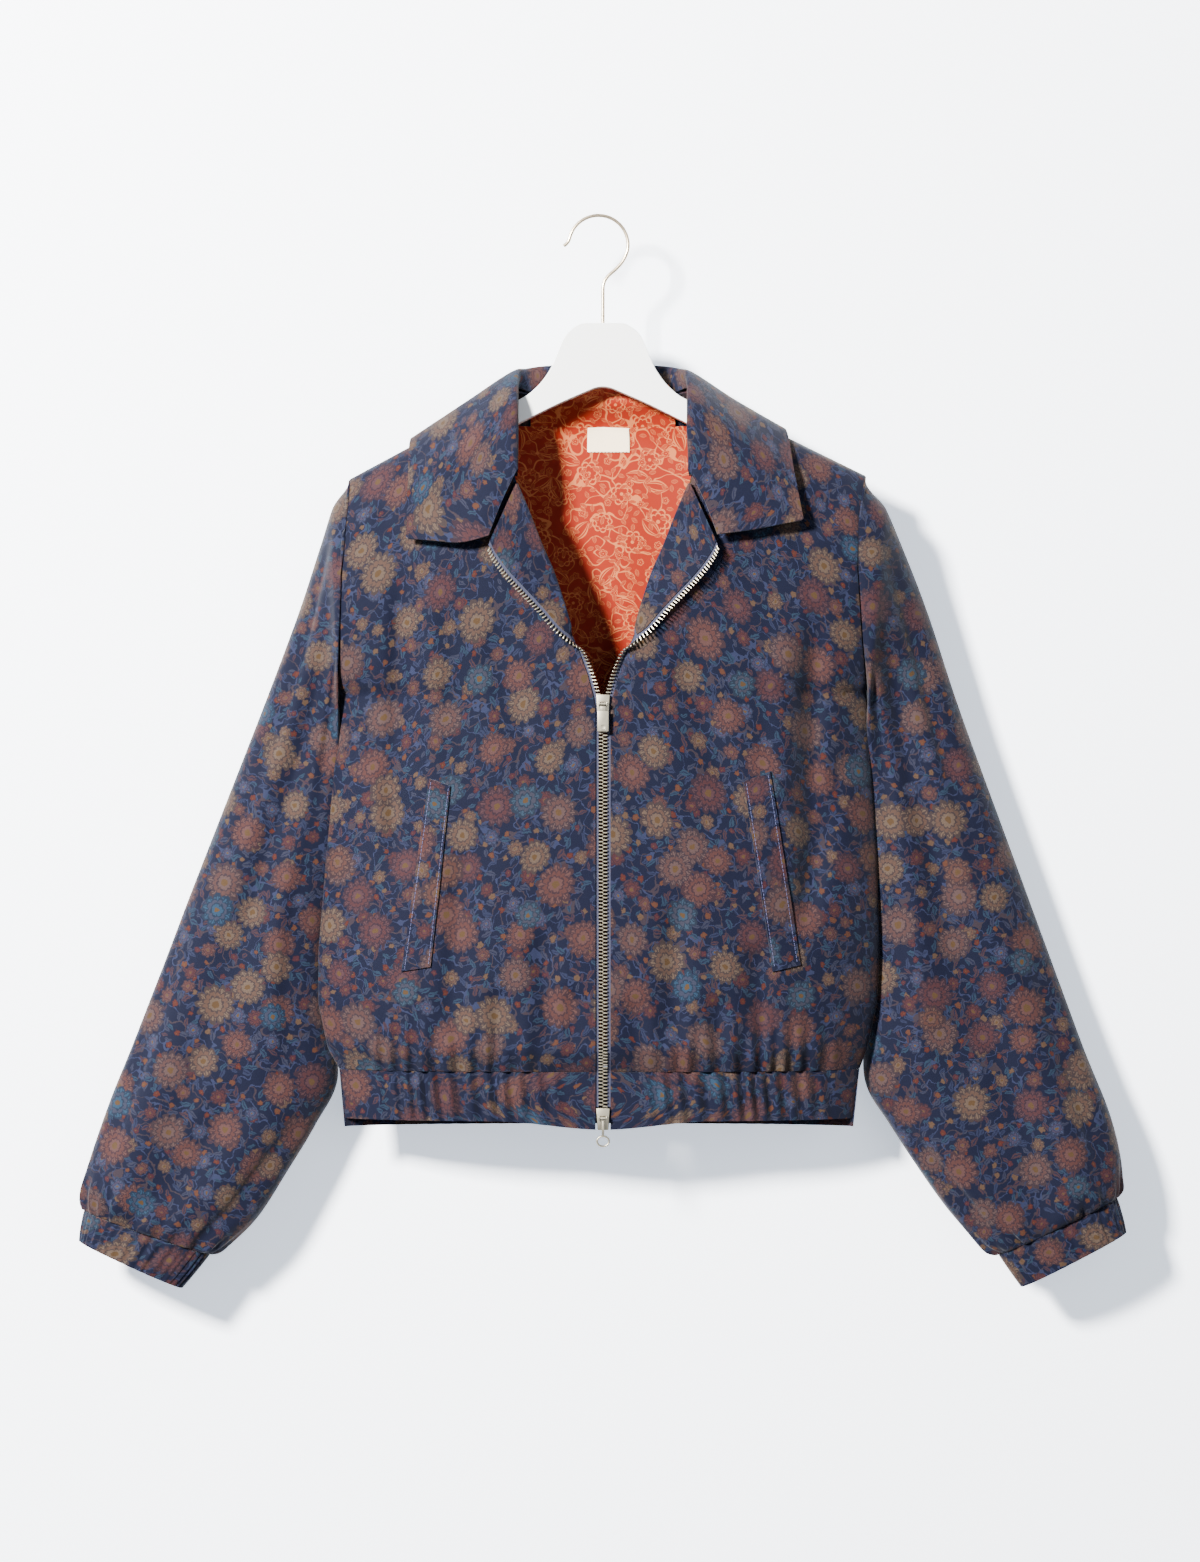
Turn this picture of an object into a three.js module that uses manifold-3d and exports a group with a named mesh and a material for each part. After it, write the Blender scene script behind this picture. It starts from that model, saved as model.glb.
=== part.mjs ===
// A collared bomber jacket on a wooden hanger, built from the pieces that a maker would cut.
// Units are millimetres. +Z is up and -Y is the front of the jacket. X is 0 at the centre front.
// The origin is the inside of the hanger's hook, where it rests on a rail. Left and right are the wearer's.
import * as THREE from "three";
import { mergeVertices } from "three/addons/utils/BufferGeometryUtils.js";
import Module from "manifold-3d";

const wasm = await Module();
wasm.setup();

// Driving dimensions
const CLOTH = 1.6;
const LINING = 1.2;
const COLLAR_CLOTH = 2;
const TAPE_CLOTH = 0.8;
const LABEL_CLOTH = 0.6;
const SEAM_GAP = 0.4;
const ARMHOLE_GAP = 0.8;
const LAYER_GAP = 0.3;
const NECK_HALF = 75;
const NECK_Z = -146;
const UNDERARM_Z = -400;
const WAIST_Z = -717.5;
const HEM_Z = -759;
const HEM_DIP = 7;
const SIDES = [
  { name: "left", sign: 1, slope: 0.49 },
  { name: "right", sign: -1, slope: 0.54 },
];

const SHELL = { color: 0x35395a, roughness: 0.85, metalness: 0 };
const SHELL_FACING = { color: 0x3b4062, roughness: 0.85, metalness: 0 };
const ORANGE = { color: 0xc4552e, roughness: 0.8, metalness: 0 };
const LABEL = { color: 0xe8d6b4, roughness: 0.9, metalness: 0 };
const TAPE = { color: 0x23242b, roughness: 0.9, metalness: 0 };
const ZIP_METAL = { color: 0xc9c3b2, roughness: 0.35, metalness: 0.9 };
const HOOK_METAL = { color: 0xa8927c, roughness: 0.3, metalness: 0.9 };
const PAINTED_WOOD = { color: 0xf2f2f0, roughness: 0.5, metalness: 0 };

// Outer edge of the body on each side: the armhole seam above the underarm and the side seam below it
const bodyEdge = [
  { z: -218, left: 221, right: 213 },
  { z: -259, left: 214, right: 216 },
  { z: -299, left: 213, right: 218 },
  { z: -357, left: 217, right: 220 },
  { z: -410, left: 223, right: 223 },
  { z: -535, left: 231, right: 233 },
  { z: -620, left: 233, right: 240 },
  { z: -662, left: 231, right: 240 },
  { z: -700, left: 223, right: 232 },
  { z: -718, left: 216, right: 222 },
  { z: -766, left: 210, right: 217 },
];

// How far the front and the back stand out from the side seams
const bodyDepth = [
  { z: -146, front: 42, back: 34 },
  { z: -300, front: 43, back: 34 },
  { z: -500, front: 45, back: 34 },
  { z: -650, front: 48, back: 36 },
  { z: -700, front: 46, back: 35 },
  { z: -718, front: 36, back: 29 },
];

// Inner edge of each front: neck, roll line of the lapel, then the edge at the zip
const openEdge = [
  { z: -146, x: 75 },
  { z: -180, x: 75.5 },
  { z: -222, x: 73.5 },
  { z: -245, x: 65.5 },
  { z: -270, x: 56 },
  { z: -311, x: 39.5 },
  { z: -345, x: 29 },
  { z: -366, x: 20.5 },
  { z: -386, x: 13 },
  { z: -405, x: 8 },
  { z: -416, x: 6.3 },
  { z: -718, x: 6.3 },
];

// The lapel from its base to the notch: roll line, free edge, how far it turns over and how far it lifts
const lapelRows = [
  { rollX: 28.5, rollZ: -347, edgeX: 28, edgeZ: -353, turn: 75, lift: 4 },
  { rollX: 31, rollZ: -338, edgeX: 36, edgeZ: -347, turn: 125, lift: 7 },
  { rollX: 35, rollZ: -325, edgeX: 49, edgeZ: -332, turn: 150, lift: 9 },
  { rollX: 43, rollZ: -301, edgeX: 64, edgeZ: -316, turn: 162, lift: 11 },
  { rollX: 53, rollZ: -278, edgeX: 78, edgeZ: -301, turn: 166, lift: 12 },
  { rollX: 63.5, rollZ: -251, edgeX: 89, edgeZ: -286, turn: 168, lift: 12 },
  { rollX: 73.3, rollZ: -227.5, edgeX: 94, edgeZ: -275.5, turn: 168, lift: 12 },
];

// How far the zip turns forwards as it nears the lapel
const zipTurn = [
  { z: -405, turn: 0 },
  { z: -386, turn: 22 },
  { z: -366, turn: 48 },
  { z: -358, turn: 62 },
];

// The collar from the notch to the centre back. Its seam lies on the front, the shoulder ridge or the back at seamX
// and seamZ, and each row then gives the fold, the middle of the fall and the free edge.
const collarRows = {
  left: [
    {
      on: "front", seamX: 71.8, seamZ: -220.5,
      fold: [71.5, -43, -216], mid: [84, -48, -241], edge: [95, -54, -270],
    },
    {
      on: "front", seamX: 71.8, seamZ: -205,
      fold: [73, -41, -201], mid: [100, -47, -235], edge: [125, -52, -266],
    },
    {
      on: "front", seamX: 71.8, seamZ: -187,
      fold: [74, -36, -183], mid: [121, -42, -222], edge: [167, -45, -257.5],
    },
    {
      on: "front", seamX: 71.8, seamZ: -167,
      fold: [74, -26, -156], mid: [117, -30, -187], edge: [160, -33, -218],
    },
    {
      on: "ridge", seamX: 71.8, seamZ: -144.8,
      fold: [73, 0, -131], mid: [113, 0, -155], edge: [154, 0, -178],
    },
    {
      on: "back", seamX: 63, seamZ: -145.8,
      fold: [66, 15, -126], mid: [106, 22, -158], edge: [146, 27, -196],
    },
    {
      on: "back", seamX: 46, seamZ: -149.6,
      fold: [46, 19, -123], mid: [68, 35, -160], edge: [92, 40, -209],
    },
  ],
  right: [
    {
      on: "front", seamX: 71.8, seamZ: -220.5,
      fold: [71.5, -43, -216], mid: [84, -48, -242], edge: [95, -54, -271],
    },
    {
      on: "front", seamX: 71.8, seamZ: -205,
      fold: [73, -41, -201], mid: [100, -47, -239], edge: [122, -52, -277],
    },
    {
      on: "front", seamX: 71.8, seamZ: -187,
      fold: [75, -36, -183], mid: [121, -42, -230], edge: [164, -46, -273],
    },
    {
      on: "front", seamX: 71.8, seamZ: -167,
      fold: [75, -26, -156], mid: [118, -30, -192], edge: [163, -36, -230],
    },
    {
      on: "ridge", seamX: 71.8, seamZ: -144.8,
      fold: [74, 0, -130], mid: [116, 0, -156], edge: [162, 0, -186],
    },
    {
      on: "back", seamX: 63, seamZ: -145.8,
      fold: [66, 15, -126], mid: [108, 22, -161], edge: [150, 27, -204],
    },
    {
      on: "back", seamX: 46, seamZ: -149.6,
      fold: [46, 19, -123], mid: [68, 35, -160], edge: [92, 40, -209],
    },
  ],
  back: {
    on: "back", seamX: 0, seamZ: -151.3,
    fold: [0, 22, -121.5], mid: [0, 40, -163], edge: [0, 43, -205],
  },
};

// Sections of each sleeve from the armhole to the cuff: outer and inner edge, middle depth and half thicknesses
const sleeveRows = {
  left: [
    { outX: 221, outZ: -218.2, inX: 222, inZ: -400, y: 0, front: 26, back: 22 },
    { outX: 236, outZ: -240, inX: 226, inZ: -417, y: 2, front: 28, back: 24 },
    { outX: 253, outZ: -277, inX: 228, inZ: -449, y: 12, front: 28, back: 24 },
    { outX: 276, outZ: -334, inX: 228, inZ: -491, y: 20, front: 27, back: 24 },
    { outX: 301, outZ: -408, inX: 226, inZ: -550, y: 22, front: 28, back: 25 },
    { outX: 331, outZ: -491, inX: 226, inZ: -613, y: 23, front: 29, back: 26 },
    { outX: 361, outZ: -575, inX: 223, inZ: -676, y: 23, front: 30, back: 27 },
    { outX: 386, outZ: -642, inX: 222, inZ: -728, y: 22, front: 30, back: 28 },
    { outX: 408, outZ: -703, inX: 243, inZ: -766, y: 18, front: 31, back: 29 },
    { outX: 427, outZ: -751, inX: 268, inZ: -804, y: 14, front: 32, back: 30 },
    { outX: 436.5, outZ: -790, inX: 297, inZ: -844, y: 10, front: 30, back: 28 },
    { outX: 437.5, outZ: -815, inX: 320, inZ: -867, y: 7, front: 25, back: 23 },
    { outX: 433, outZ: -827, inX: 334, inZ: -874, y: 6, front: 19, back: 18 },
  ],
  right: [
    { outX: 213, outZ: -221.2, inX: 222.5, inZ: -400, y: 0, front: 26, back: 22 },
    { outX: 226, outZ: -240, inX: 226, inZ: -417, y: 2, front: 28, back: 24 },
    { outX: 239, outZ: -277, inX: 228, inZ: -449, y: 12, front: 28, back: 24 },
    { outX: 258, outZ: -333, inX: 228, inZ: -491, y: 20, front: 27, back: 24 },
    { outX: 286, outZ: -407, inX: 228, inZ: -550, y: 22, front: 28, back: 25 },
    { outX: 319, outZ: -491, inX: 232, inZ: -613, y: 23, front: 29, back: 26 },
    { outX: 352, outZ: -575, inX: 231, inZ: -676, y: 23, front: 30, back: 27 },
    { outX: 377, outZ: -642, inX: 225, inZ: -728, y: 22, front: 30, back: 28 },
    { outX: 399, outZ: -701, inX: 243, inZ: -766, y: 18, front: 31, back: 29 },
    { outX: 418, outZ: -747, inX: 266, inZ: -804, y: 14, front: 32, back: 30 },
    { outX: 433, outZ: -790, inX: 292, inZ: -844, y: 10, front: 30, back: 28 },
    { outX: 437.5, outZ: -817, inX: 320, inZ: -868, y: 7, front: 25, back: 23 },
    { outX: 437, outZ: -837, inX: 332, inZ: -874, y: 6, front: 19, back: 18 },
  ],
};

// Each cuff from its seam to its open end
const cuffRows = {
  left: [
    { outX: 433.5, outZ: -827.6, inX: 334.3, inZ: -874.6, y: 6, front: 18, back: 17 },
    { outX: 441, outZ: -856, inX: 353, inZ: -901.5, y: 4, front: 17, back: 16 },
  ],
  right: [
    { outX: 437.2, outZ: -837.6, inX: 332.2, inZ: -874.7, y: 6, front: 18, back: 17 },
    { outX: 441.5, outZ: -863, inX: 355, inZ: -902.5, y: 4, front: 17, back: 16 },
  ],
};

// Soft vertical folds of the body: where they lie, how wide and deep they are, and the heights they fade between
const bodyFolds = [
  { x: -172, width: 11, depth: 5, top: -300, bottom: -560 },
  { x: -120, width: 13, depth: 4, top: -520, bottom: -715 },
  { x: -48, width: 10, depth: 4, top: -590, bottom: -715 },
  { x: 60, width: 12, depth: 4, top: -560, bottom: -715 },
  { x: 128, width: 12, depth: 4, top: -600, bottom: -715 },
  { x: 178, width: 11, depth: 5, top: -310, bottom: -600 },
];

// Long folds of the sleeves, by share of the way round (0 is the outer edge, the front comes first)
const sleeveFolds = [
  { around: 0.16, width: 0.035, depth: 5, top: 0.08, bottom: 0.5 },
  { around: 0.3, width: 0.03, depth: 4, top: 0.02, bottom: 0.35 },
  { around: 0.7, width: 0.04, depth: 4, top: 0.1, bottom: 0.5 },
];

// Waves drawn up by the cuffs and the waistband, and the ribs of the cuffs
const GATHERS = {
  sleeve: { count: 9, height: 3, reach: 0.14 },
  body: { pitch: 26, height: 2.2, reach: 60, plain: 40, ramp: 40, side: 200, sideRamp: 20 },
  band: { pitch: 15, height: 2.4, plain: 62, ramp: 45, side: 212, sideRamp: 8 },
};
const CUFF_RIBS = { count: 36, height: 1.6 };

// Pocket welts: the four corners of each, as X and Z of its inner and outer top and bottom
const welts = {
  left: { innerTop: [117.1, -475.4], outerTop: [139.4, -467], innerEnd: [141.5, -634], outerEnd: [164.6, -628.7] },
  right: { innerTop: [127, -479], outerTop: [144.8, -473], innerEnd: [143.5, -630], outerEnd: [168, -634] },
};

const HANGER = { thick: 13, bevel: 1.5 };
const hangerOutline = [
  [17, -89.5],
  [32, -100],
  [40, -120],
  [53, -141],
  [63, -150],
  [76, -157],
  [196, -222],
  [203, -228],
  [203, -235],
  [196, -238],
  [77, -177],
  [0, -141],
];
const WIRE_RADIUS = 1.5;
const HOOK = { x: -3.8, z: -23.2, radius: 25, from: -4, to: 164 };
const hookStem = [
  [0, -89.1],
  [0, -70],
  [0, -57],
  [1.5, -53],
  [6, -48.5],
  [16, -38],
  [20, -31],
];
const hookTip = [
  [-30.4, -21.5],
  [-33.6, -24],
];


const lerp = (a, b, t) => a + (b - a) * t;
const clamp = (t) => Math.min(1, Math.max(0, t));
const ease = (t) => clamp(t) ** 2 * (3 - 2 * clamp(t));
const bell = (t) => Math.exp(-t * t);
const spread = (count, from = 0, to = 1) =>
  Array.from({ length: count + 1 }, (_, i) => lerp(from, to, i / count));
const degrees = (angle) => (angle * Math.PI) / 180;

// A column's value at a place in a table whose key column rises or falls steadily
function lookUp(table, key, at, column) {
  const rising = table[1][key] > table[0][key];
  let i = 0;
  while (i < table.length - 2 && (rising ? at > table[i + 1][key] : at < table[i + 1][key])) i++;
  const t = clamp((at - table[i][key]) / (table[i + 1][key] - table[i][key]));
  return lerp(table[i][column], table[i + 1][column], t);
}

// A row's values part of the way down a table, on a smooth curve through its rows
function rowAt(table, share) {
  const place = clamp(share) * (table.length - 1);
  const i = Math.min(table.length - 2, Math.floor(place));
  const t = place - i;
  const rows = [-1, 0, 1, 2].map((k) => table[Math.min(table.length - 1, Math.max(0, i + k))]);
  const curve = (a, b, c, d) =>
    b + 0.5 * t * (c - a + t * (2 * a - 5 * b + 4 * c - d + t * (3 * (b - c) + d - a)));
  const mix = (key) => {
    const values = rows.map((row) => row[key]);
    return Array.isArray(values[0])
      ? values[0].map((_, axis) => curve(...values.map((value) => value[axis])))
      : curve(...values);
  };
  return Object.fromEntries(Object.keys(rows[0]).map((key) => [key, mix(key)]));
}

// Closed geometry from points and triangles, turned to face outwards
function closedGeometry(points, triangles) {
  let volume = 0;
  for (const [a, b, c] of triangles)
    volume += points[a].dot(new THREE.Vector3().crossVectors(points[b], points[c]));
  const facing = volume < 0 ? triangles.map(([a, b, c]) => [a, c, b]) : triangles;
  const geometry = new THREE.BufferGeometry();
  geometry.setAttribute(
    "position",
    new THREE.Float32BufferAttribute(points.flatMap((p) => p.toArray()), 3),
  );
  geometry.setIndex(facing.flat());
  return geometry;
}

const STEP = 1e-3;
function normalOf(surface, u, v) {
  const du = surface(u + STEP, v).sub(surface(u - STEP, v));
  const dv = surface(u, v + STEP).sub(surface(u, v - STEP));
  return du.cross(dv).normalize();
}

// A wall of cloth over a surface, between two offsets along its normal. The relief raises the outer points only.
// outwards is 1 where across x down points out of the garment, and -1 where it points in.
function wall(surface, { across, down, from, to, outwards, round = false, relief = () => 0, seamNormal }) {
  const columns = across.length;
  const rows = down.length;
  const points = [];
  for (const side of ["outer", "inner"])
    for (const v of down)
      for (const u of across) {
        const n = normalOf(surface, u, v).multiplyScalar(outwards);
        if (seamNormal) seamNormal(n, u, v);
        const offset = side === "outer" ? to + relief(u, v) : from;
        points.push(surface(u, v).addScaledVector(n, offset));
      }
  const inner = rows * columns;
  const id = (r, c) => r * columns + (c % columns);
  const triangles = [];
  const quad = (a, b, c, d) => triangles.push([a, b, c], [a, c, d]);
  const steps = round ? columns : columns - 1;
  for (let r = 0; r < rows - 1; r++)
    for (let c = 0; c < steps; c++) {
      quad(id(r, c), id(r + 1, c), id(r + 1, c + 1), id(r, c + 1));
      quad(inner + id(r, c), inner + id(r, c + 1), inner + id(r + 1, c + 1), inner + id(r + 1, c));
    }
  for (let c = 0; c < steps; c++) {
    quad(id(0, c), id(0, c + 1), inner + id(0, c + 1), inner + id(0, c));
    quad(id(rows - 1, c + 1), id(rows - 1, c), inner + id(rows - 1, c), inner + id(rows - 1, c + 1));
  }
  if (!round)
    for (let r = 0; r < rows - 1; r++) {
      quad(id(r + 1, 0), id(r, 0), inner + id(r, 0), inner + id(r + 1, 0));
      quad(id(r, columns - 1), id(r + 1, columns - 1), inner + id(r + 1, columns - 1), inner + id(r, columns - 1));
    }
  return closedGeometry(points, triangles);
}

// A solid through rings of points, closed at both ends
function loft(rings) {
  const size = rings[0].length;
  const points = rings.flat();
  const triangles = [];
  rings.slice(1).forEach((_, r) => {
    for (let c = 0; c < size; c++) {
      const [a, b] = [r * size + c, r * size + ((c + 1) % size)];
      triangles.push([a, b, b + size], [a, b + size, a + size]);
    }
  });
  const last = (rings.length - 1) * size;
  for (let c = 1; c < size - 1; c++) triangles.push([0, c + 1, c], [last, last + c, last + c + 1]);
  return closedGeometry(points, triangles);
}

function solidOf(geometry) {
  const bare = geometry.clone();
  bare.deleteAttribute("normal");
  bare.deleteAttribute("uv");
  const merged = mergeVertices(bare, 1e-4);
  return new wasm.Manifold(
    new wasm.Mesh({
      numProp: 3,
      vertProperties: new Float32Array(merged.attributes.position.array),
      triVerts: new Uint32Array(merged.index.array),
    }),
  );
}

function meshOf(solid) {
  const made = solid.getMesh();
  const geometry = new THREE.BufferGeometry();
  geometry.setAttribute("position", new THREE.BufferAttribute(new Float32Array(made.vertProperties), 3));
  geometry.setIndex(new THREE.BufferAttribute(new Uint32Array(made.triVerts), 1));
  return geometry;
}
const join = (...geometries) => meshOf(geometries.map(solidOf).reduce((a, b) => a.add(b)));

const jacket = new THREE.Group();
function add(name, geometry, finish) {
  const mesh = new THREE.Mesh(geometry, new THREE.MeshStandardMaterial(finish));
  mesh.name = name;
  jacket.add(mesh);
}

// The body as two height fields, front and back, that meet at the shoulder and side seams
const shoulderZ = (side, x) => NECK_Z - side.slope * Math.max(0, Math.abs(x) - NECK_HALF);
const edgeAt = (side, z) => lookUp(bodyEdge, "z", z, side.name);
const tipX = (side) => edgeAt(side, bodyEdge[0].z);
const tipZ = (side) => shoulderZ(side, tipX(side));
const ARM_DEPTH = { front: 26, back: 22 };
const SIDE_ROUND = 2.6;
const SIDE_POWER = 0.7;
const ARCH = 4;
const NECK_ARCH = 3;
const BACK_NECK_DROP = 6;
const BACK_NECK_RUN = 35;

function armholeDepth(side, z, face) {
  const share = clamp((z - UNDERARM_Z) / (tipZ(side) - UNDERARM_Z));
  return ARM_DEPTH[face] * Math.sqrt(1 - (2 * share - 1) ** 2);
}

function softLeast(a, b) {
  const blend = Math.min(5, 0.4 * a, 0.4 * b);
  return (a + b - Math.sqrt((a - b) ** 2 + blend ** 2)) / 2;
}

function foldDepth(x, z) {
  return bodyFolds.reduce((sum, fold) => {
    const fade = ease((fold.top - z) / 60) * ease((z - fold.bottom) / 40);
    return sum + fold.depth * fade * bell((x - fold.x) / fold.width);
  }, 0);
}

// Waves of a given pitch, flat beside the zip and at the side seams
function waves(x, { pitch, height, plain, ramp, side, sideRamp }) {
  const near = ease((Math.abs(x) - plain) / ramp) * ease((side - Math.abs(x)) / sideRamp);
  return height * near * (0.5 + 0.5 * Math.sin((2 * Math.PI * x) / pitch + 2 * Math.sin(x / 37)));
}
const bodyRipple = (x, z) => waves(x, GATHERS.body) * ease(1 - (z - WAIST_Z) / GATHERS.body.reach) - foldDepth(x, z);
const bandRipple = (x) => waves(x, GATHERS.band);

function depthAt(side, face, x, z, ripple = bodyRipple) {
  const out = clamp(Math.abs(x) / edgeAt(side, z));
  const arm = armholeDepth(side, z, face);
  const full = lookUp(bodyDepth, "z", z, face);
  const across = arm + Math.max(0, full - arm) * (1 - out ** SIDE_ROUND) ** SIDE_POWER;
  const below = Math.max(0, shoulderZ(side, x) - z);
  const arch = ARCH + (face === "back" ? NECK_ARCH * clamp(1 - Math.abs(x) / NECK_HALF) : 0);
  const smooth = softLeast(across, arch * Math.sqrt(below));
  return smooth + ripple(x, z) * clamp((smooth - 10) / 15) + SEAM_GAP / 2;
}

const frontPoint = (side, x, z, ripple) =>
  new THREE.Vector3(side.sign * x, -depthAt(side, "front", side.sign * x, z, ripple), z);
const backPoint = (side, x, z, ripple) =>
  new THREE.Vector3(side.sign * x, depthAt(side, "back", side.sign * x, z, ripple), z);
const sideOf = (x) => SIDES[x < 0 ? 1 : 0];

// Shares of the half width, closer together towards the side where the cloth turns
const towardsSide = (count) => spread(count, 0, Math.PI / 2).map((angle) => Math.sin(angle) ** (2 / SIDE_ROUND));
const downBody = [0, 0.003, 0.008, 0.018, 0.04, 0.08, ...spread(10, 0.14, 1)];

// One front: u runs from its inner edge to the side, v from the shoulder to the waist seam
function frontSurface(side) {
  return (u, v) => {
    const innerZ = lerp(NECK_Z, WAIST_Z, v);
    const outerZ = lerp(tipZ(side), WAIST_Z, v);
    const z = lerp(innerZ, outerZ, u);
    return frontPoint(side, lerp(lookUp(openEdge, "z", innerZ, "x"), edgeAt(side, outerZ), u), z);
  };
}

const backTop = (side, x) => shoulderZ(side, x) - BACK_NECK_DROP * ease((NECK_HALF - x) / BACK_NECK_RUN);

// The back: u runs from -1 at the wearer's right to 1 at the left
function backSurface(u, v) {
  const side = sideOf(u);
  const share = Math.abs(u);
  const outerZ = lerp(tipZ(side), WAIST_Z, v);
  return backPoint(side, share * edgeAt(side, outerZ), lerp(backTop(side, share * tipX(side)), WAIST_Z, v));
}

// Keeps the cut edges of the body square: no tilt across the shoulder, side and waist seams
const squareBody = (n, u, v) => {
  if (v === 0 || Math.abs(u) === 1) n.y = 0;
  if (v === 1) n.z = 0;
  n.normalize();
};
const squareBand = (n, u, v) => {
  if (Math.abs(u) === 1) n.y = 0;
  n.setZ(0).normalize();
};

// The lapel turns over the roll line on a small curve, and its plain side then faces the front
const ROLL_RADIUS = 2.6;
const LAPEL_LAP = 10;
const LAPEL_BEND = 0.35;
function lapelSurface(side) {
  return (u, v) => {
    const row = rowAt(lapelRows, v);
    const roll = frontPoint(side, row.rollX, row.rollZ);
    const inwards = new THREE.Vector3(-side.sign * 0.94, 0, 0.34);
    const forwards = new THREE.Vector3(0, -1, 0);
    if (u < 0) return frontPoint(side, row.rollX - u * LAPEL_LAP, row.rollZ);
    const bend = degrees(row.turn) * clamp(u / LAPEL_BEND);
    const curl = roll
      .clone()
      .addScaledVector(inwards, ROLL_RADIUS * Math.sin(bend))
      .addScaledVector(forwards, ROLL_RADIUS * (1 - Math.cos(bend)));
    if (u <= LAPEL_BEND) return curl;
    const edge = frontPoint(side, row.edgeX, row.edgeZ).addScaledVector(forwards, row.lift);
    return curl.lerp(edge, (u - LAPEL_BEND) / (1 - LAPEL_BEND));
  };
}

const FACING_START = 0.16;
for (const side of SIDES) {
  const outwards = -side.sign;
  const body = wall(frontSurface(side), {
    across: towardsSide(15),
    down: downBody,
    from: -CLOTH,
    to: 0,
    outwards,
    seamNormal: squareBody,
  });
  const lapel = lapelSurface(side);
  const bends = [-0.9, 0, 0.09, 0.18, 0.27, 0.35, 0.55, 0.78, 1];
  const turned = wall(lapel, { across: bends, down: spread(9), from: -CLOTH, to: 0, outwards: side.sign });
  add(`front_${side.name}`, join(body, turned), SHELL);
  add(
    `facing_${side.name}`,
    wall(lapel, {
      across: [0.04, 0.12, 0.2, 0.28, 0.35, 0.55, 0.75, 0.94],
      down: spread(8, FACING_START, 0.985),
      from: -CLOTH - LAYER_GAP - LINING,
      to: -CLOTH - LAYER_GAP,
      outwards: side.sign,
    }),
    SHELL_FACING,
  );
}

const neckShare = NECK_HALF / tipX(SIDES[0]);
const halfAcross = [0, 0.35, 0.7, 0.92, 1]
  .map((share) => share * neckShare)
  .concat(towardsSide(12).filter((share) => share > neckShare * 1.15));
const bothWays = (shares) => [...shares.slice(1).map((share) => -share).reverse(), ...shares];
add(
  "back",
  wall(backSurface, {
    across: bothWays(halfAcross),
    down: downBody,
    from: -CLOTH,
    to: 0,
    outwards: 1,
    seamNormal: squareBody,
  }),
  SHELL,
);

// Layers inside the back, from the points of the back moved in
const onBack = (x, z) => backPoint(sideOf(x), Math.abs(x), z, () => 0);
const LAYER_ROOM = 1.9;
const LAYER_OUT = CLOTH + LAYER_GAP + LAYER_ROOM;
const FOLD_ROOM = 5;
const NECK_STRIP = { half: 62, top: -153.5, bottom: -172.5 };
const LINING_SHEET = { topHalf: 135, hemHalf: 160, hem: -700, fall: 20 };
add(
  "neck_facing",
  wall((u, v) => onBack(lerp(-NECK_STRIP.half, NECK_STRIP.half, u), lerp(NECK_STRIP.top, NECK_STRIP.bottom, v)), {
    across: spread(12),
    down: [0, 0.3, 0.6, 1],
    from: -LAYER_OUT - LINING,
    to: -LAYER_OUT,
    outwards: 1,
  }),
  ORANGE,
);

// The lining meets the strip at its top and hangs clear of the folds of the back lower down
function onLining(x, z) {
  const point = onBack(x, z);
  point.y -= FOLD_ROOM * ease((NECK_STRIP.bottom - z) / 100);
  return point;
}
function liningSurface(u, v) {
  const { topHalf, hemHalf, hem, fall } = LINING_SHEET;
  const top = Math.min(NECK_STRIP.bottom - SEAM_GAP, shoulderZ(sideOf(u), Math.abs(u) * topHalf) - fall);
  return onLining(u * lerp(topHalf, hemHalf, ease(v * 2.5)), lerp(top, hem, v));
}
add(
  "lining_back",
  wall(liningSurface, {
    across: spread(18, -1, 1),
    down: [0, 0.02, 0.05, 0.1, 0.2, 0.35, 0.55, 0.78, 1],
    from: -LAYER_OUT - LINING,
    to: -LAYER_OUT,
    outwards: 1,
  }),
  ORANGE,
);
const LABEL_BOX = { left: 22.7, right: -13.4, top: -173.5, bottom: -195.5 };
const LABEL_OUT = LAYER_OUT + LINING + 2 * LAYER_GAP;
add(
  "label",
  wall((u, v) => onLining(lerp(LABEL_BOX.right, LABEL_BOX.left, u), lerp(LABEL_BOX.top, LABEL_BOX.bottom, v)), {
    across: spread(4),
    down: spread(4),
    from: -LABEL_OUT - LABEL_CLOTH,
    to: -LABEL_OUT,
    outwards: 1,
  }),
  LABEL,
);

// The collar, from the notch of the wearer's right round the neck to the notch of the left
const COLLAR_LIFT = 0.6;
function collarStations() {
  const station = (side) => (row) => {
    const point = ([x, y, z]) => [side.sign * x, y, z];
    const depths = {
      front: () => -depthAt(side, "front", row.seamX, row.seamZ) - COLLAR_LIFT,
      ridge: () => 0,
      back: () => depthAt(side, "back", row.seamX, backTop(side, row.seamX)),
    };
    return {
      seam: [side.sign * row.seamX, depths[row.on](), row.seamZ],
      fold: point(row.fold),
      mid: point(row.mid),
      edge: point(row.edge),
    };
  };
  const [left, right] = SIDES;
  return [
    ...collarRows.right.map(station(right)),
    station(left)(collarRows.back),
    ...collarRows.left.map(station(left)).reverse(),
  ];
}
const stations = collarStations();
function collarSurface(u, v) {
  const row = rowAt(stations, u);
  const profile = [row.seam, row.fold, row.mid, row.edge].map((point) => ({ point }));
  return new THREE.Vector3(...rowAt(profile, v).point);
}
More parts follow.
